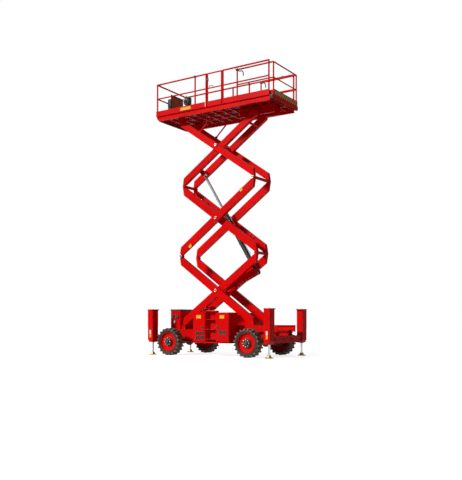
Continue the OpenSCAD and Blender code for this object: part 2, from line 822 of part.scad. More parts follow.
module ladder() {
    side_t = 10;
    depth = 150;
    step_t = 20;
    rise = (hood_z1 - hood_z0) / 3;
    top = hood_z1 + 50;
    y0 = -hood_y1 + 8;
    color(RED) {
        for (x = [recess_x0 + seam, recess_x1 - seam - side_t])
            box(x, x + side_t, y0, y0 + depth, hood_z0, top);
        for (k = [0:3])
            let (z = min(hood_z0 + 70 + k * rise, top - step_t))
                box(recess_x0 + 2, recess_x1 - 2, y0, y0 + depth, z, z + step_t);
        box(recess_x0 + 2, recess_x1 - 2, y0 + depth - 2, y0 + depth + 6, hood_z0, top);
    }
}

// End box between the outriggers at the fixed end
end_x0 = -1860;
end_x1 = -1480;
end_y = 420;
end_z1 = 1390;
lid_h = 45;

module end_box() {
    color(RED) difference() {
        box(end_x0, end_x1, -end_y, end_y, rail_z1 + seam, end_z1);
        box(end_x0 + sheet, end_x1 - sheet, -end_y + sheet, end_y - sheet, rail_z1 + sheet, end_z1 + 1);
    }
}

module end_box_lid() {
    rim = 8;
    color(DARK) {
        across(-end_y - rim, end_y + rim)
            polygon([[end_x0 - rim, end_z1 + seam], [end_x1 + rim, end_z1 + seam],
                     [end_x1 - rim, end_z1 + lid_h], [end_x0 - rim, end_z1 + lid_h]]);
        for (y = [-end_y + 80, end_y - 80 - hinge_l])
            bar_y(end_x0 - rim, end_z1 + lid_h / 2, 10, y, y + hinge_l);
    }
}

module end_lamps() {
    color(BLACK) {
        for (x = [-1780, -1610])
            box(x - 55, x + 55, -end_y - 30, -end_y - 0.5, 1150, 1260);
        bar_y(-1695, 1030, 48, -end_y - 26, -end_y - 0.5);
    }
}

// Platform
side_t = 46;
web_t = 8;
ledge = 30;
end_cut = 110;
ptrack_x0 = 600;
ptrack_x1 = 1840;

// Section of the far side beam: a channel open to the outside, with a ledge for the deck
module beam_section() {
    y1 = plat_y;
    y0 = plat_y - side_t;
    polygon([[y0, beam_z0], [y1, beam_z0], [y1, beam_z0 + web_t], [y0 + web_t, beam_z0 + web_t],
             [y0 + web_t, beam_z1 - web_t], [y1, beam_z1 - web_t], [y1, beam_z1], [y0, beam_z1],
             [y0, deck_z - 7], [y0 - ledge, deck_z - 7], [y0 - ledge, deck_z - 16], [y0, deck_z - 16]]);
}

module top_pivot_outline() {
    difference() {
        union() {
            polygon([[top_fix_x - 120, under_z - 5], [top_fix_x + 120, under_z - 5],
                     [top_fix_x + 50, top_pin_z - 20], [top_fix_x - 50, top_pin_z - 20]]);
            translate([top_fix_x, top_pin_z]) circle(pivot_r + 30);
        }
        translate([top_fix_x, top_pin_z]) circle(pivot_r + pin_fit);
    }
}

rib_y = plat_y - side_t - ledge - seam;
under_z = rib_z0 - seam;

// Side beams and end plates
module platform_frame() {
    end_y = plat_y - side_t + 1;
    color(RED) {
        difference() {
            union() {
                both_sides() translate([plat_x0, 0, 0]) rotate([90, 0, 90])
                    linear_extrude(plat_x1 - plat_x0) beam_section();
                box(plat_x0, plat_x0 + web_t, -end_y, end_y, beam_z0, beam_z1);
            }
            // Raked lower corner of the end
            across(-plat_y - 1, plat_y + 1)
                polygon([[plat_x0 - 1, beam_z0 - 1], [plat_x0 + end_cut, beam_z0 - 1],
                         [plat_x0 - 1, beam_z0 + end_cut]]);
        }
        across(-end_y, end_y)
            polygon([[plat_x0, beam_z0 + end_cut], [plat_x0, beam_z0 + end_cut - 12],
                     [plat_x0 + end_cut - 12, beam_z0], [plat_x0 + end_cut, beam_z0]]);
        box(plat_x1 - web_t, plat_x1, -end_y, end_y, beam_z0 + 40, deck_z - 7);
    }
}

// Transverse ribs on lengthwise stringers, between the beams' ledges
module platform_ribs() {
    x0 = plat_x0 + end_cut - (rib_z0 - beam_z0) + 2 * seam;
    x1 = plat_x1 - web_t - seam;
    color(RED) {
        for (x = [x0 : 320 : x1 - 30])
            box(x, x + 30, -rib_y, rib_y, rib_z0, rib_z0 + rib_h);
        both_sides() for (y = [inner_y0 - 40, outer_y1 + pivot_gap])
            box(x0, x1, y, y + 10, rib_z0, rib_z0 + rib_h);
    }
}

// Pivot plates of the fixed top pins and tracks of the rolling ones, under the ribs
module platform_tracks() {
    track_in = inner_y0 - roller_gap - roller_w - 6;
    track_z0 = top_pin_z - roller_r - 1;
    track_z1 = top_pin_z + roller_r + 1;
    color(RED) both_sides() {
        for (y = [outer_y0 - pivot_gap - pivot_t, outer_y1 + pivot_gap])
            across(y, y + pivot_t) top_pivot_outline();
        box(top_fix_x - 120, top_fix_x + 120, outer_y0 - pivot_gap - pivot_t, outer_y1 + pivot_gap + pivot_t,
            under_z - 10, under_z);
        difference() {
            box(ptrack_x0, ptrack_x1, track_in - 12, inner_y0 - 4, track_z0 - 12, under_z);
            box(ptrack_x0 - 1, ptrack_x1 + 1, track_in, inner_y0, track_z0, track_z1);
            box(ptrack_x0 - 1, ptrack_x1 + 1, track_in, inner_y0, track_z1 + 12, under_z - 10);
        }
    }
}

module deck() {
    y1 = plat_y - side_t - 1;
    color(DARK) box(plat_x0 + web_t + 1, plat_x1 - 2, -y1, y1, deck_z - 6.5, deck_z);
}

module toe_boards() {
    t = 6;
    y1 = plat_y - 1;
    x0 = plat_x0 + 1;
    color(RED) {
        difference() {
            both_sides() box(x0, plat_x1, y1 - t, y1, beam_z1 + seam, toe_z);
            box(gate_x0 - tube_d / 2 - 2, gate_x1 + tube_d / 2 + 2, -y1 - 1, -y1 + t + 1, beam_z1, toe_z + 1);
        }
        box(x0, x0 + t, -y1, y1, beam_z1 + seam, toe_z);
    }
}

rail_y = plat_y - web_t - seam - tube_d / 2;
post_x0 = plat_x0 + web_t + seam + tube_d / 2;
post_x1 = plat_x1 - tube_d / 2;
mid_post_x = -653;
gate_gap = 8;
gate_d = tube_d - 6;
gate_z0 = beam_z1 + 20;
gate_pin_r = 8;
gate_axis_x = gate_x1 - tube_d / 2 - gate_gap - gate_d / 2;

// Heights and diameters of the middle and top rails
rails = [[mid_z, tube_d - 6], [top_z, tube_d]];

module rail_posts(list, y) {
    for (x = list) {
        tube_z(x, y, beam_z1 + seam, top_z, tube_d);
        translate([x, y, top_z]) sphere(d = tube_d);
    }
}

module guard_rails_far() {
    color(RED) {
        rail_posts([post_x0, mid_post_x, gate_x0, gate_x1, post_x1], rail_y);
        for (r = rails) tube_x(post_x0, post_x1, rail_y, r[0], r[1]);
    }
}

module guard_rails_near() {
    color(RED) {
        rail_posts([post_x0, mid_post_x, gate_x0, gate_x1, post_x1], -rail_y);
        for (r = rails) {
            tube_x(post_x0, gate_x0, -rail_y, r[0], r[1]);
            tube_x(gate_x1, post_x1, -rail_y, r[0], r[1]);
        }
        // Foot bearing of the gate, with its pin
        box(gate_axis_x - 16, gate_x1, -rail_y - 12, -rail_y + 12, gate_z0 - 15, gate_z0 - 5);
        tube_z(gate_axis_x, -rail_y, gate_z0 - 6, gate_z0 + 35, 2 * gate_pin_r);
    }
}

// Rails across the end, let in between the corner posts
module guard_rails_end() {
    y = rail_y - tube_d / 2 - seam;
    color(RED) for (r = rails) bar_y(post_x0, r[0], r[1] / 2, -y, y);
}

module gate() {
    x0 = gate_x0 + (tube_d + gate_d) / 2 + gate_gap;
    color(RED) difference() {
        union() {
            for (x = [x0, gate_axis_x]) tube_z(x, -rail_y, gate_z0, top_z, gate_d);
            for (r = [[mid_z, gate_d - 4], [top_z, gate_d]]) tube_x(x0, gate_axis_x, -rail_y, r[0], r[1]);
            box(x0, gate_axis_x, -rail_y - gate_d / 2 - 5, -rail_y - gate_d / 2 + 1, gate_z0, toe_z);
            for (x = [x0, gate_axis_x]) translate([x, -rail_y, top_z]) sphere(d = gate_d);
        }
        tube_z(gate_axis_x, -rail_y, gate_z0 - 1, gate_z0 + 40, 2 * (gate_pin_r + pin_fit));
    }
}

// Control console on its bracket, hung on the far rails
module control_box() {
    back = rail_y - tube_d / 2 - seam;
    deep = 180;
    x0 = plat_x0 + 90;
    z0 = mid_z + 160;
    z1 = z0 + 220;
    color(DARK) {
        translate([x0, 0, 0]) rotate([90, 0, 90]) linear_extrude(200)
            polygon([[back - deep, z0], [back - 6, z0], [back - 6, z1], [back - deep + 70, z1],
                     [back - deep, z1 - 80]]);
        box(x0 + 30, x0 + 170, back - 7, back, mid_z - 10, top_z + 10);
    }
}

module end_panel() {
    x0 = post_x0 + rails[0][1] / 2 + seam;
    color(DARK) box(x0, x0 + 110, -250, 420, toe_z + 140, mid_z + 120);
}

// Extension deck, drawn in
ext_y = plat_y - 70;
ext_deck_z = deck_z + 8;

module extension_deck() {
    color(DARK) {
        box(ext_x0 - 60, ext_x1, -ext_y, ext_y, ext_deck_z, ext_deck_z + 30);
        both_sides() box(ext_x0 - 60, plat_x1 - 20, ext_y - 60, ext_y - 20, deck_z + 0.5, ext_deck_z + 1);
    }
}

module extension_rails() {
    d = tube_d - 4;
    z1 = top_z - tube_d - 8;
    y = ext_y - d / 2;
    x1 = ext_x1 - d / 2;
    color(RED) {
        both_sides() {
            for (x = [ext_x0, x1]) tube_z(x, y, ext_deck_z + 30 + seam, z1, d);
            for (x = [ext_x0, x1]) translate([x, y, z1]) sphere(d = d);
            tube_x(ext_x0, x1, y, z1, d);
            tube_x(ext_x0, x1, y, mid_z - tube_d - 8, d - 6);
        }
        bar_y(x1, z1, d / 2 - 2, -y, y);
        bar_y(x1, mid_z - tube_d - 8, d / 2 - 5, -y, y);
    }
}

module extension_toe_boards() {
    t = 6;
    color(RED) {
        both_sides() box(ext_x0, ext_x1 - 8, ext_y + seam, ext_y + seam + t, ext_deck_z, toe_z - 20);
        box(ext_x1 + seam, ext_x1 + seam + t, -ext_y - t, ext_y + t, beam_z0 + 20, toe_z);
    }
}

chassis_frame();
fixed_axle();
steered_axle();
side_hoods();
engine_hood();
engine_block();
ladder();
end_box();
end_box_lid();
end_lamps();
outrigger_frame_left();
outrigger_frame_right();
tank_door();
tank_door_vents();
battery_door();
engine_door();
tyre_fixed_near();
rim_fixed_near();
hub_fixed_near();
tyre_fixed_far();
rim_fixed_far();
hub_fixed_far();
tyre_steered_near();
rim_steered_near();
hub_steered_near();
tyre_steered_far();
rim_steered_far();
hub_steered_far();
knuckle_near();
knuckle_far();
leg_left_near();
leg_left_far();
leg_right_near();
leg_right_far();
outer_arms_1();
inner_arms_1();
outer_arms_2();
inner_arms_2();
outer_arms_3();
inner_arms_3();
deck_props();
lower_rollers();
upper_rollers();
cylinder_barrel();
cylinder_rod();
platform_frame();
platform_ribs();
platform_tracks();
deck();
toe_boards();
guard_rails_near();
guard_rails_far();
guard_rails_end();
gate();
control_box();
end_panel();
extension_deck();
extension_rails();
extension_toe_boards();
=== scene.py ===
# Rough terrain scissor lift with its platform raised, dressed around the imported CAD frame.
import json
import math

import bpy
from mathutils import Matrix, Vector


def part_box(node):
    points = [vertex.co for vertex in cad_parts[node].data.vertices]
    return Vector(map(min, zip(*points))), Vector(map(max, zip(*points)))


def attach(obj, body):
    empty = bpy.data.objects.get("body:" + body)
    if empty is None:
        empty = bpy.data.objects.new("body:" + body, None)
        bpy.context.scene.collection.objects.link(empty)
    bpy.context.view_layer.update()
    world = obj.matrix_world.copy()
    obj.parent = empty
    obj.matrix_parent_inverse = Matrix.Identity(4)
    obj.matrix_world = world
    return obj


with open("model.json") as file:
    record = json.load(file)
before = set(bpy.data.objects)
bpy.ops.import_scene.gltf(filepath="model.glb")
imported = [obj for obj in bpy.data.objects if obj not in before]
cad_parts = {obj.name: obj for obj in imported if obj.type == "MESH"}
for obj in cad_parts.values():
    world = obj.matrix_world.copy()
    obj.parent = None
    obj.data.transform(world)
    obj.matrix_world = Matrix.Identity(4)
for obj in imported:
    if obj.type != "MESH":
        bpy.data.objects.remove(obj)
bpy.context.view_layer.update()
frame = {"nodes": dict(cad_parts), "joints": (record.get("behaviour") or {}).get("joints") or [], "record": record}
nodes = frame["nodes"]

# Photograph and camera
PHOTO_HEIGHT_PX = 480
FOCAL_PX = 709.8
HORIZON_PX = 319.3
CAMERA_PLACE = (12.261, -18.504, 1.116)
CAMERA_TURN = math.radians(33.146)
SENSOR = 36.0

# Light: share of the room's white on the object, a soft key from the near left and a fill from behind
AMBIENT = 0.11
KEY_STRENGTH = 3.6
KEY_DIRECTION = (0.42, 0.78, -0.55)
FILL_STRENGTH = 1.2
FILL_DIRECTION = (0.45, -0.75, -0.4)
SUN_SPREAD = math.radians(8)
SUN_DISTANCE = 16
REFLECTED_WHITE = 0.3
FLOOR_SIZE = 120
FLOOR_TONE = (0.45, 0.45, 0.45, 1)
FLOOR_GLOW = 0.82
WHITE = (1, 1, 1, 1)

# Paint and finish colours, with one colour of painted shade, as linear values
RED = (0.72, 0.0006, 0.0006, 1)
RED_FADED = (0.56, 0.0006, 0.0006, 1)
BLACK_PAINT = (0.014, 0.014, 0.016, 1)
BLACK_WORN = (0.05, 0.048, 0.045, 1)
RUBBER = (0.013, 0.0125, 0.012, 1)
RUBBER_DUSTY = (0.075, 0.062, 0.05, 1)
DUST = (0.23, 0.18, 0.13, 1)
STEEL = (0.50, 0.50, 0.51, 1)
STEEL_STAINED = (0.36, 0.35, 0.34, 1)
CHROME = (0.72, 0.72, 0.74, 1)
CHROME_STAINED = (0.6, 0.6, 0.62, 1)
LEG_CHROME = (0.62, 0.62, 0.64, 1)
ZINC = (0.52, 0.36, 0.13, 1)
ZINC_STAINED = (0.38, 0.24, 0.08, 1)
ALUMINIUM = (0.46, 0.47, 0.48, 1)
DECK_FLAT = (0.30, 0.31, 0.32, 1)
DECK_STAINED = (0.22, 0.22, 0.23, 1)
PLASTIC = (0.012, 0.012, 0.013, 1)
PLASTIC_PALE = (0.022, 0.022, 0.023, 1)
LENS = (0.03, 0.03, 0.034, 1)
LENS_RIB = (0.07, 0.07, 0.075, 1)
YELLOW = (0.80, 0.42, 0.01, 1)
YELLOW_DULL = (0.70, 0.36, 0.01, 1)
ORANGE = (0.58, 0.12, 0.012, 1)
ORANGE_DEEP = (0.40, 0.06, 0.008, 1)
# Tan given to the tyre lug tips
LUG_TIP_TAN = (0.27, 0.205, 0.125, 1)
# Painted shade: dark red for the faces of the deck that look down
UNDERSIDE_PAINTED_SHADE = (0.12, 0.030, 0.022, 1)
OFF_WHITE = (0.72, 0.70, 0.64, 1)
OFF_WHITE_DULL = (0.62, 0.60, 0.55, 1)


# Shader groups

def new_group(name, inputs, outputs):
    """An empty shader group with float inputs given as (name, value) and outputs as (name, type)."""
    group = bpy.data.node_groups.new(name, "ShaderNodeTree")
    for label, value in inputs:
        socket = group.interface.new_socket(label, in_out="INPUT", socket_type="NodeSocketFloat")
        socket.default_value = value
    for label, kind in outputs:
        group.interface.new_socket(label, in_out="OUTPUT", socket_type=kind)
    return group, group.nodes.new("NodeGroupInput"), group.nodes.new("NodeGroupOutput")


def put(tree, kind, **settings):
    """A node of a kind in a tree, with its properties set."""
    node = tree.nodes.new("ShaderNode" + kind)
    for name, value in settings.items():
        setattr(node, name, value)
    return node


def math_node(tree, operation, first, second=None, clamp=False):
    """A Math node whose inputs are sockets or plain numbers."""
    node = put(tree, "Math", operation=operation, use_clamp=clamp)
    for slot, value in zip(node.inputs, (first, second)):
        if value is None:
            continue
        if isinstance(value, (int, float)):
            slot.default_value = value
        else:
            tree.links.new(value, slot)
    return node.outputs[0]


def noise(tree, place, scale, detail=4.0, rough=0.55):
    """Fractal noise over a place socket, about 0 to 1."""
    node = put(tree, "TexNoise")
    tree.links.new(place, node.inputs["Vector"])
    if isinstance(scale, (int, float)):
        node.inputs["Scale"].default_value = scale
    else:
        tree.links.new(scale, node.inputs["Scale"])
    node.inputs["Detail"].default_value = detail
    node.inputs["Roughness"].default_value = rough
    return node.outputs["Fac"]


def ramp(tree, value, low, high):
    """Maps low to 0 and high to 1, held at both ends."""
    node = put(tree, "MapRange", clamp=True)
    tree.links.new(value, node.inputs["Value"])
    node.inputs["From Min"].default_value = low
    node.inputs["From Max"].default_value = high
    return node.outputs["Result"]


def object_place(tree):
    """The place on the piece, which stays with it in every pose."""
    return put(tree, "TexCoord").outputs["Object"]


def make_site_dirt():
    """Dust that gathers low down and in patches, fine scratches, and a slow change of tone."""
    group, given, out = new_group(
        "Site dirt", [("Dust height", 1.0), ("Dust", 0.5), ("Patch scale", 2.5)],
        [("Dust", "NodeSocketFloat"), ("Tone", "NodeSocketFloat"), ("Scratch", "NodeSocketFloat")])
    place = object_place(group)
    parts = put(group, "SeparateXYZ")
    group.links.new(place, parts.inputs[0])
    depth = math_node(group, "DIVIDE", parts.outputs["Z"], given.outputs["Dust height"])
    low = math_node(group, "SUBTRACT", 1.0, depth, clamp=True)
    patch = ramp(group, noise(group, place, given.outputs["Patch scale"], 6.0, 0.6), 0.35, 0.75)
    speck = ramp(group, noise(group, place, 38.0, 3.0, 0.6), 0.45, 0.8)
    spread = math_node(group, "MULTIPLY", math_node(group, "ADD", patch, speck), 0.5)
    dust = math_node(group, "MULTIPLY", math_node(group, "MULTIPLY", low, spread),
                     given.outputs["Dust"], clamp=True)
    group.links.new(dust, out.inputs["Dust"])
    group.links.new(ramp(group, noise(group, place, 1.3, 3.0, 0.5), 0.3, 0.7), out.inputs["Tone"])
    stretch = put(group, "Mapping")
    stretch.inputs["Scale"].default_value = (3.0, 3.0, 40.0)
    stretch.inputs["Rotation"].default_value = (0.3, 0.5, 0.0)
    group.links.new(place, stretch.inputs["Vector"])
    line = ramp(group, noise(group, stretch.outputs[0], 6.0, 2.0, 0.5), 0.70, 0.74)
    group.links.new(math_node(group, "MULTIPLY", line, patch), out.inputs["Scratch"])
    return group


def make_coat_skin():
    """Height of sprayed paint: a fine orange peel with slow waves under it."""
    group, given, out = new_group("Coat skin", [("Peel scale", 220.0)], [("Height", "NodeSocketFloat")])
    place = object_place(group)
    peel = noise(group, place, given.outputs["Peel scale"], 2.0, 0.5)
    wave = noise(group, place, 5.0, 2.0, 0.5)
    height = math_node(group, "ADD", math_node(group, "MULTIPLY", peel, 0.15), wave)
    group.links.new(height, out.inputs["Height"])
    return group


def make_tread_plate():
    """Raised bars of chequer plate, turned a quarter from one cell to the next."""
    group, given, out = new_group("Tread plate", [("Cells per metre", 28.0)],
                                  [("Height", "NodeSocketFloat"), ("Bar", "NodeSocketFloat")])
    scaled = put(group, "VectorMath", operation="SCALE")
    group.links.new(object_place(group), scaled.inputs[0])
    group.links.new(given.outputs["Cells per metre"], scaled.inputs["Scale"])
    split = put(group, "SeparateXYZ")
    group.links.new(scaled.outputs[0], split.inputs[0])
    cell = [math_node(group, "SUBTRACT", math_node(group, "FRACT", split.outputs[i]), 0.5) for i in (0, 1)]
    total = math_node(group, "ADD", math_node(group, "FLOOR", split.outputs[0]),
                      math_node(group, "FLOOR", split.outputs[1]))
    parity = math_node(group, "FRACT", math_node(group, "MULTIPLY", total, 0.5))
    odd = math_node(group, "MULTIPLY", parity, 2.0)
    u = math_node(group, "MULTIPLY", math_node(group, "ADD", cell[0], cell[1]), 0.707)
    v = math_node(group, "MULTIPLY", math_node(group, "SUBTRACT", cell[0], cell[1]), 0.707)

    def squared_share(offset, half):
        """How far along a half length an offset lies, squared."""
        share = math_node(group, "ABSOLUTE", math_node(group, "DIVIDE", offset, half))
        return math_node(group, "POWER", share, 2.0)

    def lozenge(along, across):
        """Height of one bar, from its middle down to its rim."""
        reach = math_node(group, "ADD", squared_share(along, 0.48), squared_share(across, 0.13))
        return math_node(group, "SUBTRACT", 1.0, reach, clamp=True)

    first, second = lozenge(u, v), lozenge(v, u)
    kept = math_node(group, "MULTIPLY", first, math_node(group, "SUBTRACT", 1.0, odd))
    bar = math_node(group, "ADD", kept, math_node(group, "MULTIPLY", second, odd), clamp=True)
    group.links.new(bar, out.inputs["Height"])
    group.links.new(ramp(group, bar, 0.1, 0.5), out.inputs["Bar"])
    return group


DIRT = make_site_dirt()
COAT = make_coat_skin()
TREAD = make_tread_plate()


# Materials

def new_material(name, roughness, metallic=0.0, coat=0.0):
    """A material with its Principled shader set to plain starting values."""
    material = bpy.data.materials.new(name)
    material.use_nodes = True
    shader = material.node_tree.nodes["Principled BSDF"]
    shader.inputs["Roughness"].default_value = roughness
    shader.inputs["Metallic"].default_value = metallic
    shader.inputs["Coat Weight"].default_value = coat
    shader.inputs["Coat Roughness"].default_value = 0.12
    shader.inputs["Specular IOR Level"].default_value = 0.35
    return material, material.node_tree, shader


def group_node(tree, group, **values):
    """A shader group placed in a tree, with its inputs set by name."""
    node = tree.nodes.new("ShaderNodeGroup")
    node.node_tree = group
    for label, value in values.items():
        node.inputs[label.replace("_", " ")].default_value = value
    return node


def mix_colour(tree, mask, first, second):
    """A colour that goes from first to second with a mask; either may be a socket or a plain colour."""
    node = put(tree, "Mix", data_type="RGBA")
    tree.links.new(mask, node.inputs["Factor"])
    for slot, value in ((node.inputs[6], first), (node.inputs[7], second)):
        if isinstance(value, tuple):
            slot.default_value = value
        else:
            tree.links.new(value, slot)
    return node.outputs[2]


def add_bump(tree, shader, height, strength, distance, edge=0.0):
    """Feeds a height to the shader's normal, over edges rounded by the given radius."""
    bump = put(tree, "Bump")
    bump.inputs["Strength"].default_value = strength
    bump.inputs["Distance"].default_value = distance
    tree.links.new(height, bump.inputs["Height"])
    if edge:
        rounded = put(tree, "Bevel", samples=4)
        rounded.inputs["Radius"].default_value = edge
        tree.links.new(rounded.outputs[0], bump.inputs["Normal"])
    tree.links.new(bump.outputs[0], shader.inputs["Normal"])


def painted_steel(name, fresh, faded, dust, roughness, gloss):
    """Sprayed steel with slow fading, scratches, low dust and soft edges."""
    material, tree, shader = new_material(name, roughness)
    shader.inputs["Specular IOR Level"].default_value = gloss
    dirt = group_node(tree, DIRT, Dust=dust, Dust_height=1.1)
    tone = mix_colour(tree, dirt.outputs["Tone"], fresh, faded)
    worn = mix_colour(tree, math_node(tree, "MULTIPLY", dirt.outputs["Scratch"], 0.35), tone, STEEL)
    colour = mix_colour(tree, dirt.outputs["Dust"], worn, DUST)
    tree.links.new(colour, shader.inputs["Base Color"])
    dulled = math_node(tree, "MULTIPLY", dirt.outputs["Dust"], 0.5)
    tree.links.new(math_node(tree, "ADD", roughness, dulled, clamp=True), shader.inputs["Roughness"])
    skin = group_node(tree, COAT, Peel_scale=240.0)
    add_bump(tree, shader, skin.outputs["Height"], 0.12, 0.004, edge=0.006)
    return material


def bare_metal(name, colour, stained, roughness, scale):
    """Metal with brushed or rolled grain and faint stains."""
    material, tree, shader = new_material(name, roughness, metallic=1.0)
    dirt = group_node(tree, DIRT, Dust=0.5, Dust_height=0.9)
    tone = mix_colour(tree, dirt.outputs["Tone"], colour, stained)
    tree.links.new(mix_colour(tree, dirt.outputs["Dust"], tone, DUST), shader.inputs["Base Color"])
    grain = noise(tree, object_place(tree), scale, 3.0, 0.6)
    spread = math_node(tree, "MULTIPLY", math_node(tree, "SUBTRACT", grain, 0.5), 0.3)
    tree.links.new(math_node(tree, "ADD", spread, roughness, clamp=True), shader.inputs["Roughness"])
    add_bump(tree, shader, grain, 0.05, 0.002, edge=0.003)
    return material


def tyre_rubber():
    """Dull rubber, paler where dust sits in its noise, and tan in broken patches towards the lug tips."""
    material, tree, shader = new_material("tyre_rubber", 0.78)
    dirt = group_node(tree, DIRT, Dust=0.95, Dust_height=1.6, Patch_scale=5.0)
    dusty = mix_colour(tree, dirt.outputs["Dust"], RUBBER, RUBBER_DUSTY)
    low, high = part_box("tyre_fixed_near")
    centre = (low + high) / 2
    place = put(tree, "SeparateXYZ")
    tree.links.new(object_place(tree), place.inputs[0])
    ahead = math_node(tree, "SUBTRACT", math_node(tree, "ABSOLUTE", place.outputs["X"]), abs(centre.x))
    above = math_node(tree, "SUBTRACT", place.outputs["Z"], centre.z)
    ahead_squared = math_node(tree, "MULTIPLY", ahead, ahead)
    above_squared = math_node(tree, "MULTIPLY", above, above)
    radius = math_node(tree, "POWER", math_node(tree, "ADD", ahead_squared, above_squared), 0.5)
    lug_foot, lug_tip = high.z / 2 - 0.075, high.z / 2 + 0.005
    tip = ramp(tree, radius, lug_foot, lug_tip)
    crumbs = ramp(tree, noise(tree, object_place(tree), 16.0, 4.0, 0.6), 0.40, 0.56)
    # The lug tips, where the tyre is outermost, turn tan in broken patches.
    lug_tip_tan = math_node(tree, "MULTIPLY", tip, crumbs)
    tree.links.new(mix_colour(tree, lug_tip_tan, dusty, LUG_TIP_TAN), shader.inputs["Base Color"])
    grain = noise(tree, object_place(tree), 130.0, 4.0, 0.65)
    tree.links.new(ramp(tree, grain, -0.6, 1.2), shader.inputs["Roughness"])
    add_bump(tree, shader, grain, 0.25, 0.003, edge=0.005)
    return material


def moulded_plastic(name, colour, other):
    """Textured moulded plastic whose tone goes slowly from one colour to the other."""
    material, tree, shader = new_material(name, 0.5)
    dirt = group_node(tree, DIRT, Dust=0.35, Dust_height=1.4)
    tree.links.new(mix_colour(tree, dirt.outputs["Tone"], colour, other), shader.inputs["Base Color"])
    grain = noise(tree, object_place(tree), 420.0, 2.0, 0.6)
    tree.links.new(ramp(tree, grain, -0.5, 1.4), shader.inputs["Roughness"])
    add_bump(tree, shader, grain, 0.2, 0.001, edge=0.003)
    return material


def deck_plate():
    """Aluminium chequer plate, brighter on the bars that shoes rub, with painted shade: faces that look down take
    a dark red.
    """
    material, tree, shader = new_material("deck_plate", 0.42, metallic=0.9)
    plate = group_node(tree, TREAD, Cells_per_metre=26.0)
    dirt = group_node(tree, DIRT, Dust=0.3, Dust_height=20.0)
    flat = mix_colour(tree, dirt.outputs["Tone"], DECK_FLAT, DECK_STAINED)
    top = mix_colour(tree, plate.outputs["Bar"], flat, ALUMINIUM)
    # Painted shade: faces that look down are coloured dark red in place of the plate's grey.
    normal = put(tree, "SeparateXYZ")
    tree.links.new(put(tree, "NewGeometry").outputs["Normal"], normal.inputs[0])
    downward_painted_shade = ramp(tree, normal.outputs["Z"], -0.3, -0.7)
    tree.links.new(mix_colour(tree, downward_painted_shade, top, UNDERSIDE_PAINTED_SHADE), shader.inputs["Base Color"])
    rough = math_node(tree, "SUBTRACT", 0.5, math_node(tree, "MULTIPLY", plate.outputs["Bar"], 0.18))
    tree.links.new(rough, shader.inputs["Roughness"])
    add_bump(tree, shader, plate.outputs["Height"], 0.6, 0.004)
    return material


def outrigger_leg():
    """Chromed rod above a zinc plated foot, told apart by height on the leg."""
    foot_low, foot_high = 0.088, 0.092
    material, tree, shader = new_material("outrigger_leg", 0.22, metallic=1.0)
    place = object_place(tree)
    split = put(tree, "SeparateXYZ")
    tree.links.new(place, split.inputs[0])
    foot = math_node(tree, "SUBTRACT", 1.0, ramp(tree, split.outputs["Z"], foot_low, foot_high))
    dirt = group_node(tree, DIRT, Dust=0.5, Dust_height=0.25, Patch_scale=7.0)
    plated = mix_colour(tree, dirt.outputs["Tone"], ZINC, ZINC_STAINED)
    clean = mix_colour(tree, foot, LEG_CHROME, plated)
    tree.links.new(mix_colour(tree, dirt.outputs["Dust"], clean, DUST), shader.inputs["Base Color"])
    rough = math_node(tree, "ADD", 0.2, math_node(tree, "MULTIPLY", foot, 0.25))
    tree.links.new(rough, shader.inputs["Roughness"])
    add_bump(tree, shader, noise(tree, place, 90.0, 3.0), 0.06, 0.002, edge=0.003)
    return material


def striped_plate():
    """Slanted yellow and black warning stripes."""
    stripes_per_metre = 8.0
    material, tree, shader = new_material("striped_plate", 0.45)
    split = put(tree, "SeparateXYZ")
    tree.links.new(object_place(tree), split.inputs[0])
    slant = math_node(tree, "ADD", split.outputs["Y"], split.outputs["Z"])
    saw = math_node(tree, "FRACT", math_node(tree, "MULTIPLY", slant, stripes_per_metre))
    stripe = ramp(tree, saw, 0.49, 0.51)
    dirt = group_node(tree, DIRT, Dust=0.4, Dust_height=20.0)
    clean = mix_colour(tree, stripe, YELLOW, BLACK_PAINT)
    tree.links.new(mix_colour(tree, dirt.outputs["Dust"], clean, DUST), shader.inputs["Base Color"])
    add_bump(tree, shader, noise(tree, object_place(tree), 60.0), 0.05, 0.002)
    return material


def lamp_lens():
    """Ribbed dark lens."""
    material, tree, shader = new_material("lamp_lens", 0.12, coat=0.6)
    ribs = put(tree, "TexWave", wave_type="BANDS", bands_direction="X")
    ribs.inputs["Scale"].default_value = 30.0
    tree.links.new(object_place(tree), ribs.inputs["Vector"])
    colour = mix_colour(tree, ribs.outputs["Fac"], LENS, LENS_RIB)
    tree.links.new(colour, shader.inputs["Base Color"])
    add_bump(tree, shader, ribs.outputs["Fac"], 0.4, 0.003)
    return material


LOOKS = {
    "red": painted_steel("red_paint_coat", RED, RED_FADED, 0.12, 0.36, 0.05),
    "black": painted_steel("black_axle_paint", BLACK_PAINT, BLACK_WORN, 0.6, 0.5, 0.3),
    "barrel": painted_steel("cylinder_paint", BLACK_PAINT, BLACK_WORN, 0.2, 0.4, 0.3),
    "rubber": tyre_rubber(),
    "chrome": bare_metal("polished_rod", CHROME, CHROME_STAINED, 0.16, 60.0),
    "steel": bare_metal("turned_steel", STEEL, STEEL_STAINED, 0.36, 90.0),
    "deck": deck_plate(),
    "plastic": moulded_plastic("black_moulding", PLASTIC, PLASTIC_PALE),
    "leg": outrigger_leg(),
    "yellow": moulded_plastic("yellow_plate", YELLOW, YELLOW_DULL),
    "orange": moulded_plastic("orange_sheet", ORANGE, ORANGE_DEEP),
    "hazard": striped_plate(),
    "glass": lamp_lens(),
    "white": moulded_plastic("pale_plate", OFF_WHITE, OFF_WHITE_DULL),
}
SLOT_LOOK = {"red_paint": "red", "axle_black": "black", "cylinder_black": "barrel", "tyre": "rubber",
             "rod_chrome": "chrome", "roller_steel": "steel", "deck_aluminium": "deck",
             "black_plastic": "plastic"}


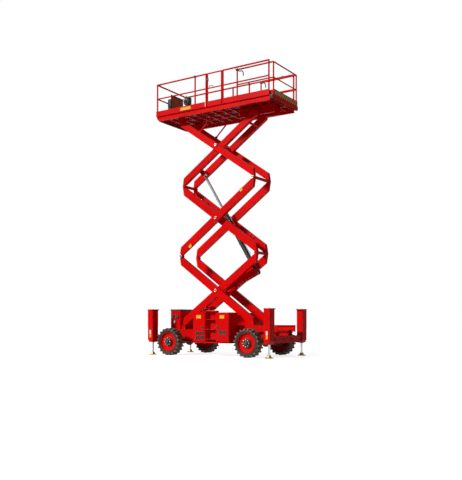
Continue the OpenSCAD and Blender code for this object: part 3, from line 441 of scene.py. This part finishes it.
def dress_frame():
    """Gives each CAD node the finish of its slot in the record, and the legs their own."""
    for part in frame["record"]["subparts"]:
        piece = nodes[part["node"]]
        look = "leg" if part["node"].startswith("leg_") else SLOT_LOOK[part["material_slot"]]
        for held in piece.material_slots:
            held.material = LOOKS[look]


dress_frame()


# Modelling steps that the pieces share

SMOOTH_ANGLE = math.radians(35)
FACING = 0.95
SINK = 0.001


def begin():
    """Clears the selection, so that the next operator works on the new piece alone."""
    bpy.ops.object.select_all(action="DESELECT")


def apply_place():
    """Puts the place, turn and scale of the active piece into its mesh."""
    bpy.ops.object.transform_apply(location=True, rotation=True, scale=True)


def settle(name, look, body, edge=0.0, steps=2):
    """Finishes the active mesh: place applied, edges rounded, finish given, carried by its body."""
    piece = bpy.context.object
    piece.name = name
    apply_place()
    if edge:
        rounding = piece.modifiers.new("rounded_edges", "BEVEL")
        rounding.width = edge
        rounding.segments = steps
        rounding.limit_method = "ANGLE"
        bpy.ops.object.modifier_apply(modifier=rounding.name)
    bpy.ops.object.shade_smooth_by_angle(angle=SMOOTH_ANGLE)
    piece.data.materials.append(LOOKS[look])
    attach(piece, body)
    return piece


def pick_faces(direction, both=False):
    """In edit mode, selects the faces that look along a direction, or along it and back."""
    piece = bpy.context.object
    bpy.ops.object.mode_set(mode="EDIT")
    bpy.ops.mesh.select_mode(type="FACE")
    bpy.ops.mesh.select_all(action="DESELECT")
    bpy.ops.object.mode_set(mode="OBJECT")
    aim = Vector(direction).normalized()
    for face in piece.data.polygons:
        facing = face.normal.dot(aim)
        face.select = (abs(facing) if both else facing) > FACING
    bpy.ops.object.mode_set(mode="EDIT")


def step_face(direction, rim, depth):
    """Insets the faces that look along a direction and moves them along it by a depth."""
    pick_faces(direction)
    bpy.ops.mesh.inset(thickness=rim)
    bpy.ops.mesh.extrude_region_move(TRANSFORM_OT_translate={"value": Vector(direction).normalized() * depth})
    bpy.ops.object.mode_set(mode="OBJECT")


def raw_block(centre, size, tilt=0.0):
    """A plain block to shape further, tilted about the cross axis."""
    begin()
    bpy.ops.mesh.primitive_cube_add(size=1, location=centre, rotation=(0, tilt, 0))
    bpy.context.object.scale = size
    apply_place()


def raw_bar(start, end, radius, sides):
    """A plain round bar to shape further, from one point to another; gives its direction."""
    begin()
    start, end = Vector(start), Vector(end)
    along = end - start
    bpy.ops.mesh.primitive_cylinder_add(vertices=sides, radius=radius, depth=along.length,
                                        location=(start + end) / 2,
                                        rotation=along.to_track_quat("Z", "Y").to_euler())
    apply_place()
    return along


def block(name, low, high, look, body, edge=0.004, face=None, rim=0.008, depth=-0.004):
    """A bevelled block between two corners, with one face stepped in or out when a direction is given."""
    low, high = Vector(low), Vector(high)
    raw_block((low + high) / 2, high - low)
    if face:
        step_face(face, rim, depth)
    return settle(name, look, body, edge)


def turned(name, start, end, radius, look, body, edge=0.003, sides=32, rim=0.0, depth=0.0):
    """A round bar from one point to another; a rim and depth step its far end."""
    along = raw_bar(start, end, radius, sides)
    if rim:
        step_face(along, rim, depth)
    return settle(name, look, body, edge)


def ring(name, start, end, inside, radius, look, body, edge=0.003, sides=40):
    """A turned ring around a bar, from one point of its axis to another."""
    along = raw_bar(start, end, radius, sides)
    pick_faces(along, both=True)
    bpy.ops.mesh.inset(thickness=radius - inside, use_individual=True)
    bpy.ops.mesh.bridge_edge_loops()
    bpy.ops.object.mode_set(mode="OBJECT")
    return settle(name, look, body, edge)


def bent_tube(name, points, radius, look, body):
    """A round tube along a smooth path, ends closed."""
    begin()
    bpy.ops.curve.primitive_bezier_curve_add()
    path = bpy.context.object
    spline = path.data.splines[0]
    spline.bezier_points.add(len(points) - 2)
    for knot, place in zip(spline.bezier_points, points):
        knot.co = place
        knot.handle_left_type = knot.handle_right_type = "AUTO"
    path.location = (0, 0, 0)
    path.data.bevel_depth = radius
    path.data.bevel_resolution = 4
    path.data.use_fill_caps = True
    bpy.ops.object.convert(target="MESH")
    return settle(name, look, body)


def joined(name, pieces):
    """Joins pieces of one body and finish into one, under a name."""
    begin()
    for piece in pieces:
        piece.select_set(True)
    bpy.context.view_layer.objects.active = pieces[0]
    bpy.ops.object.join()
    pieces[0].name = name
    return pieces[0]


# Places that the frame gives

joint_place = {joint["name"]: Vector(joint["pos_m"]) for joint in frame["joints"] if "pos_m" in joint}
mid_x = joint_place["cross_1"].x
left_x = joint_place["lift"].x
right_x = 2 * mid_x - left_x
NEAR = Vector((0, -1, 0))
SIDES = (("near", -1), ("far", 1))


# Scissor arms

PIN_HEAD = 0.042
PIN_CORE = 0.022
PIN_HEAD_PROUD = 0.012
outer_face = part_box("outer_arms_2")[1].y
INNER_FACE = 0.345
ARM_FACE = -0.5015
ARM_PLATE = (0.11, 0.005, 0.09)
ARM_PLATE_REACH = (("low", -1.27), ("high", 1.2))
EAR = (0.075, 0.018, 0.07)
EAR_REACH = (0.95, 1.07)
EAR_RAISED = 0.118
EAR_ASIDE = 0.2165
EAR_STEP = 0.03


def pin_heads():
    """Turned pin heads with a sunk dark middle at the centres and knees of the scissor."""
    knee_low, knee_high = joint_place["knee_1"].z, joint_place["knee_2"].z
    heads = [("centre_1", "outer_arms_1", mid_x, joint_place["cross_1"].z, outer_face),
             ("centre_2", "outer_arms_2", mid_x, joint_place["cross_2"].z, outer_face),
             ("centre_3", "outer_arms_3", mid_x, joint_place["cross_3"].z, outer_face),
             ("outer_low", "outer_arms_1", left_x, knee_low, outer_face),
             ("outer_high", "outer_arms_2", right_x, knee_high, outer_face),
             ("inner_low", "inner_arms_1", right_x, knee_low, INNER_FACE),
             ("inner_high", "inner_arms_2", left_x, knee_high, INNER_FACE)]
    for name, body, x, z, face in heads:
        for label, side in SIDES:
            inside, outside = side * (face - SINK), side * (face + PIN_HEAD_PROUD)
            head = turned("pin_head_%s_%s" % (name, label), (x, inside, z), (x, outside, z), PIN_HEAD,
                          "steel", body, rim=0.014, depth=-0.006)
            core = turned("pin_core_%s_%s" % (name, label), (x, inside, z), (x, outside - side * 0.003, z),
                          PIN_CORE, "black", body, edge=0.002, sides=6)


def arm_plates():
    """Small blank plates on the near face of the middle outer arms, square to the arm."""
    foot = Vector((left_x, 0, joint_place["knee_1"].z))
    along = (Vector((right_x, 0, joint_place["knee_2"].z)) - foot).normalized()
    middle = Vector((mid_x, ARM_FACE, joint_place["cross_2"].z))
    for name, reach in ARM_PLATE_REACH:
        raw_block(middle + along * reach, ARM_PLATE, -math.atan2(along.z, along.x))
        step_face(NEAR, 0.006, -0.001)
        settle("arm_plate_" + name, "yellow", "outer_arms_2", 0.001)


def stop_ears():
    """Stepped stop ears on the upper edges of the middle inner arms, near their low ends."""
    head = Vector((left_x, 0, joint_place["knee_2"].z))
    along = (Vector((right_x, 0, joint_place["knee_1"].z)) - head).normalized()
    upward = Vector((-along.z, 0, along.x))
    middle = Vector((mid_x, 0, joint_place["cross_2"].z))
    tilt = -math.atan2(along.z, along.x)
    for label, side in SIDES:
        for k, reach in enumerate(EAR_REACH):
            place = middle + along * reach + upward * EAR_RAISED + Vector((0, side * EAR_ASIDE, 0))
            raw_block(place, EAR, tilt)
            step_face(upward, 0.006, EAR_STEP)
            settle("stop_ear_%s_%d" % (label, k), "red", "inner_arms_2", 0.003)


pin_heads()
arm_plates()
stop_ears()


# Wheels

WHEELS = ("fixed_near", "fixed_far", "steered_near", "steered_far")
NUT_CIRCLE = 0.105
NUT_COUNT = 8
NUT_RADIUS = 0.016
NUT_PROUD = 0.018
HUB_CAP_RADIUS = 0.062
HUB_CAP_PROUD = 0.028
TYRE_RIBS = (("outer", 0.345, 0.007), ("inner", 0.312, 0.005))
TYRE_RIB_SUNK = 0.012
TYRE_RIB_FOOT = 0.022


def wheel_trim():
    """Wheel nuts, a hub cap and the raised rings of the tyre wall."""
    for wheel in WHEELS:
        body = "wheel_" + wheel
        hub_low, hub_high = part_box("hub_" + wheel)
        tyre_low, tyre_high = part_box("tyre_" + wheel)
        side = -1 if wheel.endswith("near") else 1
        centre = (tyre_low + tyre_high) / 2
        hub_face = hub_low.y if side < 0 else hub_high.y
        wall = tyre_low.y if side < 0 else tyre_high.y
        nuts = []
        for k in range(NUT_COUNT):
            angle = 2 * math.pi * k / NUT_COUNT
            x = centre.x + NUT_CIRCLE * math.cos(angle)
            z = centre.z + NUT_CIRCLE * math.sin(angle)
            nuts.append(turned("nut", (x, hub_face - side * SINK, z), (x, hub_face + side * NUT_PROUD, z),
                               NUT_RADIUS, "steel", body, edge=0.002, sides=6))
        joined("wheel_nuts_" + wheel, nuts)
        cap = turned("hub_cap_" + wheel, (centre.x, hub_face - side * SINK, centre.z),
                     (centre.x, hub_face + side * HUB_CAP_PROUD, centre.z), HUB_CAP_RADIUS, "black", body,
                     edge=0.008, rim=0.012, depth=0.006)
        for name, radius, width in TYRE_RIBS:
            rib = ring("tyre_ring_%s_%s" % (name, wheel), (centre.x, wall - side * TYRE_RIB_FOOT, centre.z),
                       (centre.x, wall - side * (TYRE_RIB_SUNK - width), centre.z), radius - width,
                       radius + width, "rubber", body, sides=72)


wheel_trim()


# Hoods and chassis

HINGE_PROUD = 0.006
engine_low, engine_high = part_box("engine_door")
door_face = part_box("tank_door")[0].y + HINGE_PROUD
TANK_LATCH = (-0.15, 0.87)
BATTERY_LATCH = (0.37, 0.88)
TANK_PLATE_X = (-0.40, -0.22)
BATTERY_PLATE_X = (0.46, 0.62)
DOOR_PLATE_Z = (1.14, 1.24)
VENT_WIDTH = 0.130
VENT_HEIGHT = 0.095
SLAT_COUNT = 5
SLAT_FIRST = 0.012
SLAT_PITCH = 0.0165
SLAT_HEIGHT = 0.009
SLAT_INSET = 0.008
GRILLE_X = (0.44, 0.58)
GRILLE_Z = (0.66, 0.78)
GRILLE_WIDTH = 0.11
LOUVRE_X = (-0.32, 0.36)
LOUVRE_COUNT = 6
LOUVRE_FIRST = 0.16
LOUVRE_PITCH = 0.07
LOUVRE_HEIGHT = 0.04
HANDLE_X = (("left", -0.28), ("right", 0.5))
HANDLE_Z = 0.60
HANDLE_LENGTH = 0.12
LAMP_X = (-1.78, -1.61)
LAMP_Z = (1.16, 1.25)
LAMP_HALF = 0.045
ROUND_LAMP = (-1.695, 1.03)
ROUND_LAMP_RADIUS = 0.040
LADDER_STEP_Z = (0.53, 0.8233, 1.1167)
STUD_COUNT = 6
STUD_FIRST = 0.045
STUD_PITCH = 0.06
STUD_RADIUS = 0.012
HOUSING_HALF = 0.135
HOUSING_PLATES = (("white", (0.66, 0.78)), ("yellow", (0.55, 0.65)))
HOUSING_PLATE_HALF = 0.03
HOUSING_BOLT_X = (-0.075, 0.075)
HOUSING_BOLT_Y = (-0.11, 0.11)
HOUSING_BOLT_RADIUS = 0.011
WIPER_INSIDE = 0.0385
WIPER_RADIUS = 0.056


def latch(name, place, body):
    """A paddle latch in a sunk black dish on the near doors."""
    x, z = place
    dish = block("latch_dish_" + name, (x - 0.055, door_face - 0.006, z - 0.035),
                 (x + 0.055, door_face + SINK, z + 0.035), "plastic", body, edge=0.003, face=NEAR, rim=0.008,
                 depth=-0.004)
    paddle = block("latch_paddle_" + name, (x - 0.04, door_face - 0.012, z - 0.02),
                   (x + 0.025, door_face - 0.002, z + 0.02), "black", body, edge=0.004, face=NEAR, rim=0.006,
                   depth=0.002)


def near_plate(name, span_x, span_z, face, look, body):
    """A blank thin plate with a raised rim on a face that looks to the near side."""
    plate = block(name, (span_x[0], face - 0.003, span_z[0]), (span_x[1], face + 0.0005, span_z[1]), look,
                  body, edge=0.001, face=NEAR, rim=0.006, depth=-0.001)


def vent_slats():
    """Stepped slats on the four vents of the tank door."""
    low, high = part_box("tank_door_vents")
    slats = []
    for x in (low.x, high.x - VENT_WIDTH):
        for foot in (low.z, high.z - VENT_HEIGHT):
            for k in range(SLAT_COUNT):
                z = foot + SLAT_FIRST + k * SLAT_PITCH
                slats.append(block("slat", (x + SLAT_INSET, low.y - 0.006, z),
                                   (x + VENT_WIDTH - SLAT_INSET, low.y + 0.002, z + SLAT_HEIGHT), "plastic",
                                   "tank_door", edge=0.003, face=NEAR, rim=0.003, depth=0.001))
    joined("tank_door_slats", slats)


def hood_trim():
    """Latches, vents, blank plates, grilles, louvres and handles of the three doors."""
    latch("tank", TANK_LATCH, "tank_door")
    latch("battery", BATTERY_LATCH, "battery_door")
    vent_slats()
    near_plate("tank_door_plate", TANK_PLATE_X, DOOR_PLATE_Z, door_face, "yellow", "tank_door")
    near_plate("battery_door_plate", BATTERY_PLATE_X, DOOR_PLATE_Z, door_face, "yellow", "battery_door")
    for k, x in enumerate(GRILLE_X):
        grille = block("battery_grille_%d" % k, (x, door_face - 0.006, GRILLE_Z[0]),
                       (x + GRILLE_WIDTH, door_face + SINK, GRILLE_Z[1]), "plastic", "battery_door",
                       edge=0.003, face=NEAR, rim=0.01, depth=-0.005)
    back = engine_high.y
    for k in range(LOUVRE_COUNT):
        z = engine_low.z + LOUVRE_FIRST + k * LOUVRE_PITCH
        louvre = block("engine_louvre_%d" % k, (LOUVRE_X[0], back - 0.007, z),
                       (LOUVRE_X[1], back + 0.006, z + LOUVRE_HEIGHT), "plastic", "engine_door", edge=0.004,
                       face=(0, 1, 0), rim=0.008, depth=0.003)
    for label, x in HANDLE_X:
        handle = bent_tube("engine_door_handle_" + label,
                           [(x, back - 0.008, HANDLE_Z), (x, back + 0.02, HANDLE_Z + 0.01),
                            (x + HANDLE_LENGTH, back + 0.02, HANDLE_Z + 0.01),
                            (x + HANDLE_LENGTH, back - 0.008, HANDLE_Z)], 0.008, "plastic", "engine_door")


def lamp_glass():
    """Glass of the two square lamps and of the round lamp on the end box."""
    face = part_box("end_lamps")[0].y
    for k, x in enumerate(LAMP_X):
        glass = block("lamp_glass_%d" % k, (x - LAMP_HALF, face - 0.005, LAMP_Z[0]),
                      (x + LAMP_HALF, face + SINK, LAMP_Z[1]), "glass", "chassis", edge=0.006, face=NEAR,
                      rim=0.012, depth=0.003)
    x, z = ROUND_LAMP
    round_lamp = turned("round_lamp_glass", (x, face + 0.006, z), (x, face - 0.004, z), ROUND_LAMP_RADIUS,
                        "steel", "chassis", rim=0.010, depth=0.004)


def ladder_grips():
    """Punched grip studs on the ladder steps, and the tread plate of its top."""
    low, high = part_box("ladder")
    y = low.y + 0.045
    studs = []
    for z in LADDER_STEP_Z:
        for k in range(STUD_COUNT):
            x = low.x + STUD_FIRST + k * STUD_PITCH
            studs.append(turned("stud", (x, y, z - SINK), (x, y, z + 0.004), STUD_RADIUS, "steel", "chassis",
                                edge=0.001, sides=12, rim=0.004, depth=-0.002))
    joined("ladder_grip_studs", studs)
    step = block("ladder_top_tread", (low.x + 0.012, low.y + 0.004, high.z - SINK),
                 (high.x - 0.012, high.y - 0.006, high.z + 0.005), "deck", "chassis", edge=0.002,
                 face=(0, 0, 1), rim=0.012, depth=0.002)


def outrigger_trim():
    """Blank plates, cap bolts and leg wipers of the outrigger housings."""
    for end in ("left", "right"):
        low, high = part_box("outrigger_frame_" + end)
        for label, side in SIDES:
            leg_low, leg_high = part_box("leg_%s_%s" % (end, label))
            x = (leg_low.x + leg_high.x) / 2
            y = (leg_low.y + leg_high.y) / 2
            if side < 0:
                face = y + side * HOUSING_HALF
                span_x = (x - HOUSING_PLATE_HALF, x + HOUSING_PLATE_HALF)
                for look, span_z in HOUSING_PLATES:
                    near_plate("housing_plate_%s_%s" % (look, end), span_x, span_z, face, look, "chassis")
            bolts = []
            for dx in HOUSING_BOLT_X:
                for dy in HOUSING_BOLT_Y:
                    bolts.append(turned("bolt", (x + dx, y + dy, high.z - SINK),
                                        (x + dx, y + dy, high.z + 0.009), HOUSING_BOLT_RADIUS, "steel",
                                        "chassis", edge=0.0015, sides=6))
            joined("housing_bolts_%s_%s" % (end, label), bolts)
            wiper = ring("leg_wiper_%s_%s" % (end, label), (x, y, low.z + 0.007), (x, y, low.z - 0.011),
                         WIPER_INSIDE, WIPER_RADIUS, "rubber", "chassis")


hood_trim()
lamp_glass()
ladder_grips()
outrigger_trim()


# Platform

beam_low, beam_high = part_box("platform_frame")
rail_low, rail_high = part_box("guard_rails_near")
gate_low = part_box("gate")[0]
console_low, console_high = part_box("control_box")
panel_low, panel_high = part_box("end_panel")
stretch_low, stretch_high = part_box("extension_toe_boards")
stretch_rail_low, stretch_rail_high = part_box("extension_rails")
TUBE = 0.048
RAIL_STEP = 0.448
near_rail_y = rail_low.y + TUBE / 2
top_rail_z = rail_high.z - TUBE / 2
mid_rail_z = top_rail_z - RAIL_STEP
toe_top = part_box("toe_boards")[1].z
MIDDLE_POST_X = -0.653
GATE_POST_X = 0.382
END_CLAMP_X = 1.60
CLAMP_WALL = 0.006
TOE_PLATE_X = (-1.20, -0.80)
LANYARD_X = (-1.7, -1.1, 0.7, 1.5)
GATE_LATCH_IN = 0.017
# Painted shade: a black block laid across the platform's low end corner, where the rounded beam end lies in shade
SHADE_CORNER_IN = 0.050
SHADE_CORNER_WIDTH = 0.135
SHADE_CORNER_THICK = 0.024
EXTENSION_POST_IN = 0.018
EXTENSION_CLAMP_HALF = 0.034
PUSH_HANDLE_RADIUS = 0.015
CONSOLE_BRACKET = 0.17
CONSOLE_OUT = (0.753, 0.659)
LEVER_ACROSS = 0.04
STOP_ACROSS = -0.06
KNOB_COUNT = 4
KNOB_FIRST = -0.07
KNOB_PITCH = 0.045
PANEL_COVER_DOWN = 0.36
PANEL_COVER_UP = 0.15


def rail_clamp(name, x, y, z, body, size=0.030):
    """A black clamp round a rail, with its screw."""
    half = TUBE / 2 + CLAMP_WALL
    jaw = block("rail_clamp_" + name, (x - size, y - half, z - half), (x + size, y + half, z + half),
                "plastic", body, edge=0.008, face=(0, 0, 1), rim=0.008, depth=0.004)
    screw = turned("clamp_screw_" + name, (x, y - half + 0.002, z), (x, y - half - 0.007, z), 0.007, "steel",
                   body, edge=0.001, sides=6)


def gate_trim():
    """Latch and pull handle of the gate."""
    x = gate_low.x + GATE_LATCH_IN
    keeper = block("gate_latch", (x - 0.03, near_rail_y - 0.03, mid_rail_z + 0.20),
                   (x + 0.05, near_rail_y - 0.012, mid_rail_z + 0.30), "plastic", "gate", edge=0.006,
                   face=NEAR, rim=0.010, depth=0.006)
    pull = bent_tube("gate_pull", [(x + 0.08, near_rail_y, mid_rail_z + 0.01),
                                   (x + 0.10, near_rail_y - 0.035, mid_rail_z + 0.05),
                                   (x + 0.20, near_rail_y - 0.035, mid_rail_z + 0.05),
                                   (x + 0.22, near_rail_y, mid_rail_z + 0.01)], 0.009, "plastic", "gate")


def platform_trim():
    """A blank plate, rail clamps, lanyard rings, the gate's fittings, and a black block that paints the shade of
    the frame's rounded low end corner.
    """
    board_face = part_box("toe_boards")[0].y
    near_plate("toe_board_plate", TOE_PLATE_X, (toe_top - 0.125, toe_top - 0.035), board_face, "yellow",
               "platform")
    for name, x, y in (("near_post", MIDDLE_POST_X, near_rail_y), ("far_post", MIDDLE_POST_X, -near_rail_y),
                       ("far_gate", GATE_POST_X, -near_rail_y), ("far_end", END_CLAMP_X, -near_rail_y)):
        rail_clamp(name, x, y, top_rail_z, "platform")
    for k, x in enumerate(LANYARD_X):
        begin()
        bpy.ops.mesh.primitive_torus_add(location=(x, -near_rail_y - 0.022, mid_rail_z - 0.045),
                                         major_radius=0.030, minor_radius=0.006, rotation=(math.pi / 2, 0, 0),
                                         major_segments=32, minor_segments=10)
        bpy.context.object.scale = (0.8, 1.2, 1)
        settle("lanyard_ring_%d" % k, "yellow", "platform")
    gate_trim()
    # Painted shade: a black block stands for the dark shaded curve of the frame's low end corner.
    raw_block((beam_low.x + SHADE_CORNER_IN, 0, beam_low.z + SHADE_CORNER_IN),
              (SHADE_CORNER_WIDTH, 2 * beam_high.y - 0.13, SHADE_CORNER_THICK), math.radians(45))
    settle("end_corner_painted_shade", "plastic", "platform", edge=0.008, steps=3)


def extension_trim():
    """Striped end plate, corner buffers, push handles and post clamps of the drawn-in extension."""
    end = stretch_high.x
    plate = block("striped_end_plate", (end - 0.0005, stretch_low.y + 0.02, toe_top - 0.15),
                  (end + 0.004, stretch_high.y - 0.02, toe_top - 0.03), "hazard", "extension", edge=0.0015,
                  face=(1, 0, 0), rim=0.006, depth=-0.001)
    post_x = stretch_rail_low.x + EXTENSION_POST_IN
    rail_z = stretch_rail_high.z
    for label, side in SIDES:
        y = side * (stretch_rail_high.y - EXTENSION_POST_IN)
        outside = y + side * 0.07
        buffer = block("corner_buffer_" + label, (beam_high.x + 0.012, min(y, outside), toe_top - 0.26),
                       (end - 0.008, max(y, outside), toe_top - 0.16), "plastic", "extension", edge=0.012,
                       face=(0, side, 0), rim=0.012, depth=0.004)
        rail_clamp("extension_" + label, post_x, y, rail_z - EXTENSION_POST_IN, "extension",
                   EXTENSION_CLAMP_HALF)
        grip = bent_tube("push_handle_" + label,
                         [(post_x + 0.01, y, rail_z - 0.02), (post_x + 0.03, y - side * 0.04, rail_z - 0.05),
                          (post_x + 0.16, y - side * 0.05, rail_z - 0.08),
                          (post_x + 0.20, y - side * 0.045, rail_z - 0.22)], PUSH_HANDLE_RADIUS, "plastic",
                         "extension")


def console_trim():
    """Lever, stop button, knobs and guard hoop of the control console."""
    x = (console_low.x + console_high.x) / 2
    face = console_low.y
    base = console_low.z + CONSOLE_BRACKET

    def on_slope(across, out):
        """A point across the sloping face and out from it."""
        return (x + across, face + 0.035 - CONSOLE_OUT[0] * out, base + 0.18 + CONSOLE_OUT[1] * out)

    lever = turned("control_lever", on_slope(LEVER_ACROSS, 0.02), on_slope(LEVER_ACROSS, 0.11), 0.013,
                   "plastic", "platform", edge=0.004, rim=0.003, depth=0.01)
    gaiter = turned("lever_gaiter", on_slope(LEVER_ACROSS, -0.005), on_slope(LEVER_ACROSS, 0.04), 0.030,
                    "rubber", "platform", edge=0.008, rim=0.008, depth=0.012)
    stop = turned("stop_button", on_slope(STOP_ACROSS, -0.005), on_slope(STOP_ACROSS, 0.03), 0.024, "red",
                  "platform", edge=0.006, rim=0.005, depth=0.005)
    knob_z = base + 0.07
    for k in range(KNOB_COUNT):
        knob_x = x + KNOB_FIRST + k * KNOB_PITCH
        knob = turned("console_knob_%d" % k, (knob_x, face + SINK, knob_z), (knob_x, face - 0.014, knob_z),
                      0.013, "white" if k % 2 else "plastic", "platform", edge=0.002, sides=20, rim=0.003,
                      depth=0.003)
    hoop_z = base + 0.10
    left, right = console_low.x, console_high.x
    hoop = bent_tube("console_guard_hoop",
                     [(left - 0.004, face + 0.02, hoop_z), (left - 0.006, face - 0.07, hoop_z + 0.02),
                      (x, face - 0.09, hoop_z + 0.03), (right + 0.006, face - 0.07, hoop_z + 0.02),
                      (right + 0.004, face + 0.02, hoop_z)], 0.011, "white", "platform")


def panel_trim():
    """Cover of the end panel, with an orange sheet in its frame."""
    back, front = panel_high.x - SINK, panel_high.x + 0.012
    foot, head = panel_high.z - PANEL_COVER_DOWN, panel_high.z + PANEL_COVER_UP
    cover = block("end_panel_cover", (back, panel_low.y + 0.01, foot), (front, panel_high.y - 0.01, head),
                  "plastic", "platform", edge=0.005, face=(1, 0, 0), rim=0.028, depth=-0.006)
    sheet = block("end_panel_sheet", (back + 0.004, panel_low.y + 0.05, foot + 0.04),
                  (front - 0.003, panel_high.y - 0.05, head - 0.04), "orange", "platform", edge=0.003,
                  face=(1, 0, 0), rim=0.02, depth=0.002)


platform_trim()
extension_trim()
console_trim()
panel_trim()


# Lift cylinder

BARREL_RADIUS = 0.070
PIPE_STAND_OFF = 0.022
PIPE_RADIUS = 0.011
PIPE_START = 0.58
CLIP_SHARES = (0.48, 0.72)
CLIP_LENGTH = 0.03


def cylinder_trim():
    """Gland ring, feed pipe and pipe clips of the lift cylinder, laid along its own line."""
    foot = joint_place["cylinder_swing"]
    stroke = next(joint for joint in frame["joints"] if joint["name"] == "rod_stroke")
    along = Vector(stroke["axis"]).normalized()
    beside = Vector((along.z, 0, -along.x))
    reach = max((point.co - foot).dot(along) for point in nodes["cylinder_barrel"].data.vertices)
    mouth = foot + along * reach
    gland = ring("cylinder_gland", mouth - along * 0.075, mouth - along * 0.015, 0.072, 0.081, "steel",
                 "cylinder_barrel")
    out = BARREL_RADIUS + PIPE_STAND_OFF
    bends = ((PIPE_START, 0.055), (PIPE_START + 0.02, out), (PIPE_START + 0.14, out), (reach - 0.30, out),
             (reach - 0.16, out), (reach - 0.14, 0.055))
    pipe = bent_tube("cylinder_feed_pipe", [foot + along * far + beside * aside for far, aside in bends],
                     PIPE_RADIUS, "steel", "cylinder_barrel")
    for k, share in enumerate(CLIP_SHARES):
        start = reach * share
        clip = ring("pipe_clip_%d" % k, foot + along * start, foot + along * (start + CLIP_LENGTH), 0.066,
                    0.077, "plastic", "cylinder_barrel")


cylinder_trim()


# Floor, light and camera

def lay_floor():
    """A pale floor that the camera sees as white, apart from the shadow."""
    bpy.ops.object.select_all(action="DESELECT")
    bpy.ops.mesh.primitive_plane_add(size=FLOOR_SIZE, location=(0, 0, -0.001))
    floor = bpy.context.object
    floor.name = "studio_floor"
    bpy.ops.object.transform_apply(location=True)
    material, tree, shader = new_material("pale_floor", 0.9)
    shader.inputs["Base Color"].default_value = FLOOR_TONE
    shader.inputs["Emission Color"].default_value = WHITE
    rays = put(tree, "LightPath")
    shown = math_node(tree, "MAXIMUM", rays.outputs["Is Camera Ray"], rays.outputs["Is Glossy Ray"])
    tree.links.new(math_node(tree, "MULTIPLY", shown, FLOOR_GLOW), shader.inputs["Emission Strength"])
    floor.data.materials.append(material)


def light_studio():
    """A white room for the camera and, weaker, for reflections, with a soft key and a fill."""
    world = bpy.data.worlds.new("studio_world")
    bpy.context.scene.world = world
    world.use_nodes = True
    tree = world.node_tree
    backdrop = tree.nodes["Background"]
    backdrop.inputs["Color"].default_value = WHITE
    rays = put(tree, "LightPath")
    seen = math_node(tree, "MAXIMUM", rays.outputs["Is Camera Ray"], rays.outputs["Is Transmission Ray"])
    mirrored = math_node(tree, "MULTIPLY", rays.outputs["Is Glossy Ray"], REFLECTED_WHITE)
    shown = math_node(tree, "MAXIMUM", seen, mirrored)
    strength = math_node(tree, "ADD", math_node(tree, "MULTIPLY", shown, 1 - AMBIENT), AMBIENT)
    tree.links.new(strength, backdrop.inputs["Strength"])
    for name, power, aim in (("key", KEY_STRENGTH, KEY_DIRECTION), ("fill", FILL_STRENGTH, FILL_DIRECTION)):
        bpy.ops.object.light_add(type="SUN", location=Vector(aim) * -SUN_DISTANCE)
        lamp = bpy.context.object
        lamp.name = name
        lamp.data.energy = power
        lamp.data.angle = SUN_SPREAD
        lamp.rotation_euler = Vector(aim).to_track_quat("-Z", "Y").to_euler()
        lamp.visible_glossy = name == "key"


def set_camera():
    """The photograph's level camera, raised in its frame by shift alone."""
    bpy.ops.object.camera_add(location=CAMERA_PLACE, rotation=(math.pi / 2, 0, CAMERA_TURN))
    camera = bpy.context.object
    camera.name = "photo_camera"
    camera.data.sensor_width = SENSOR
    camera.data.lens = FOCAL_PX * SENSOR / PHOTO_HEIGHT_PX
    camera.data.shift_y = (HORIZON_PX - PHOTO_HEIGHT_PX / 2) / PHOTO_HEIGHT_PX
    camera.data.clip_end = 200
    bpy.context.scene.camera = camera


lay_floor()
light_studio()
set_camera()
bpy.context.scene.view_settings.view_transform = "Standard"
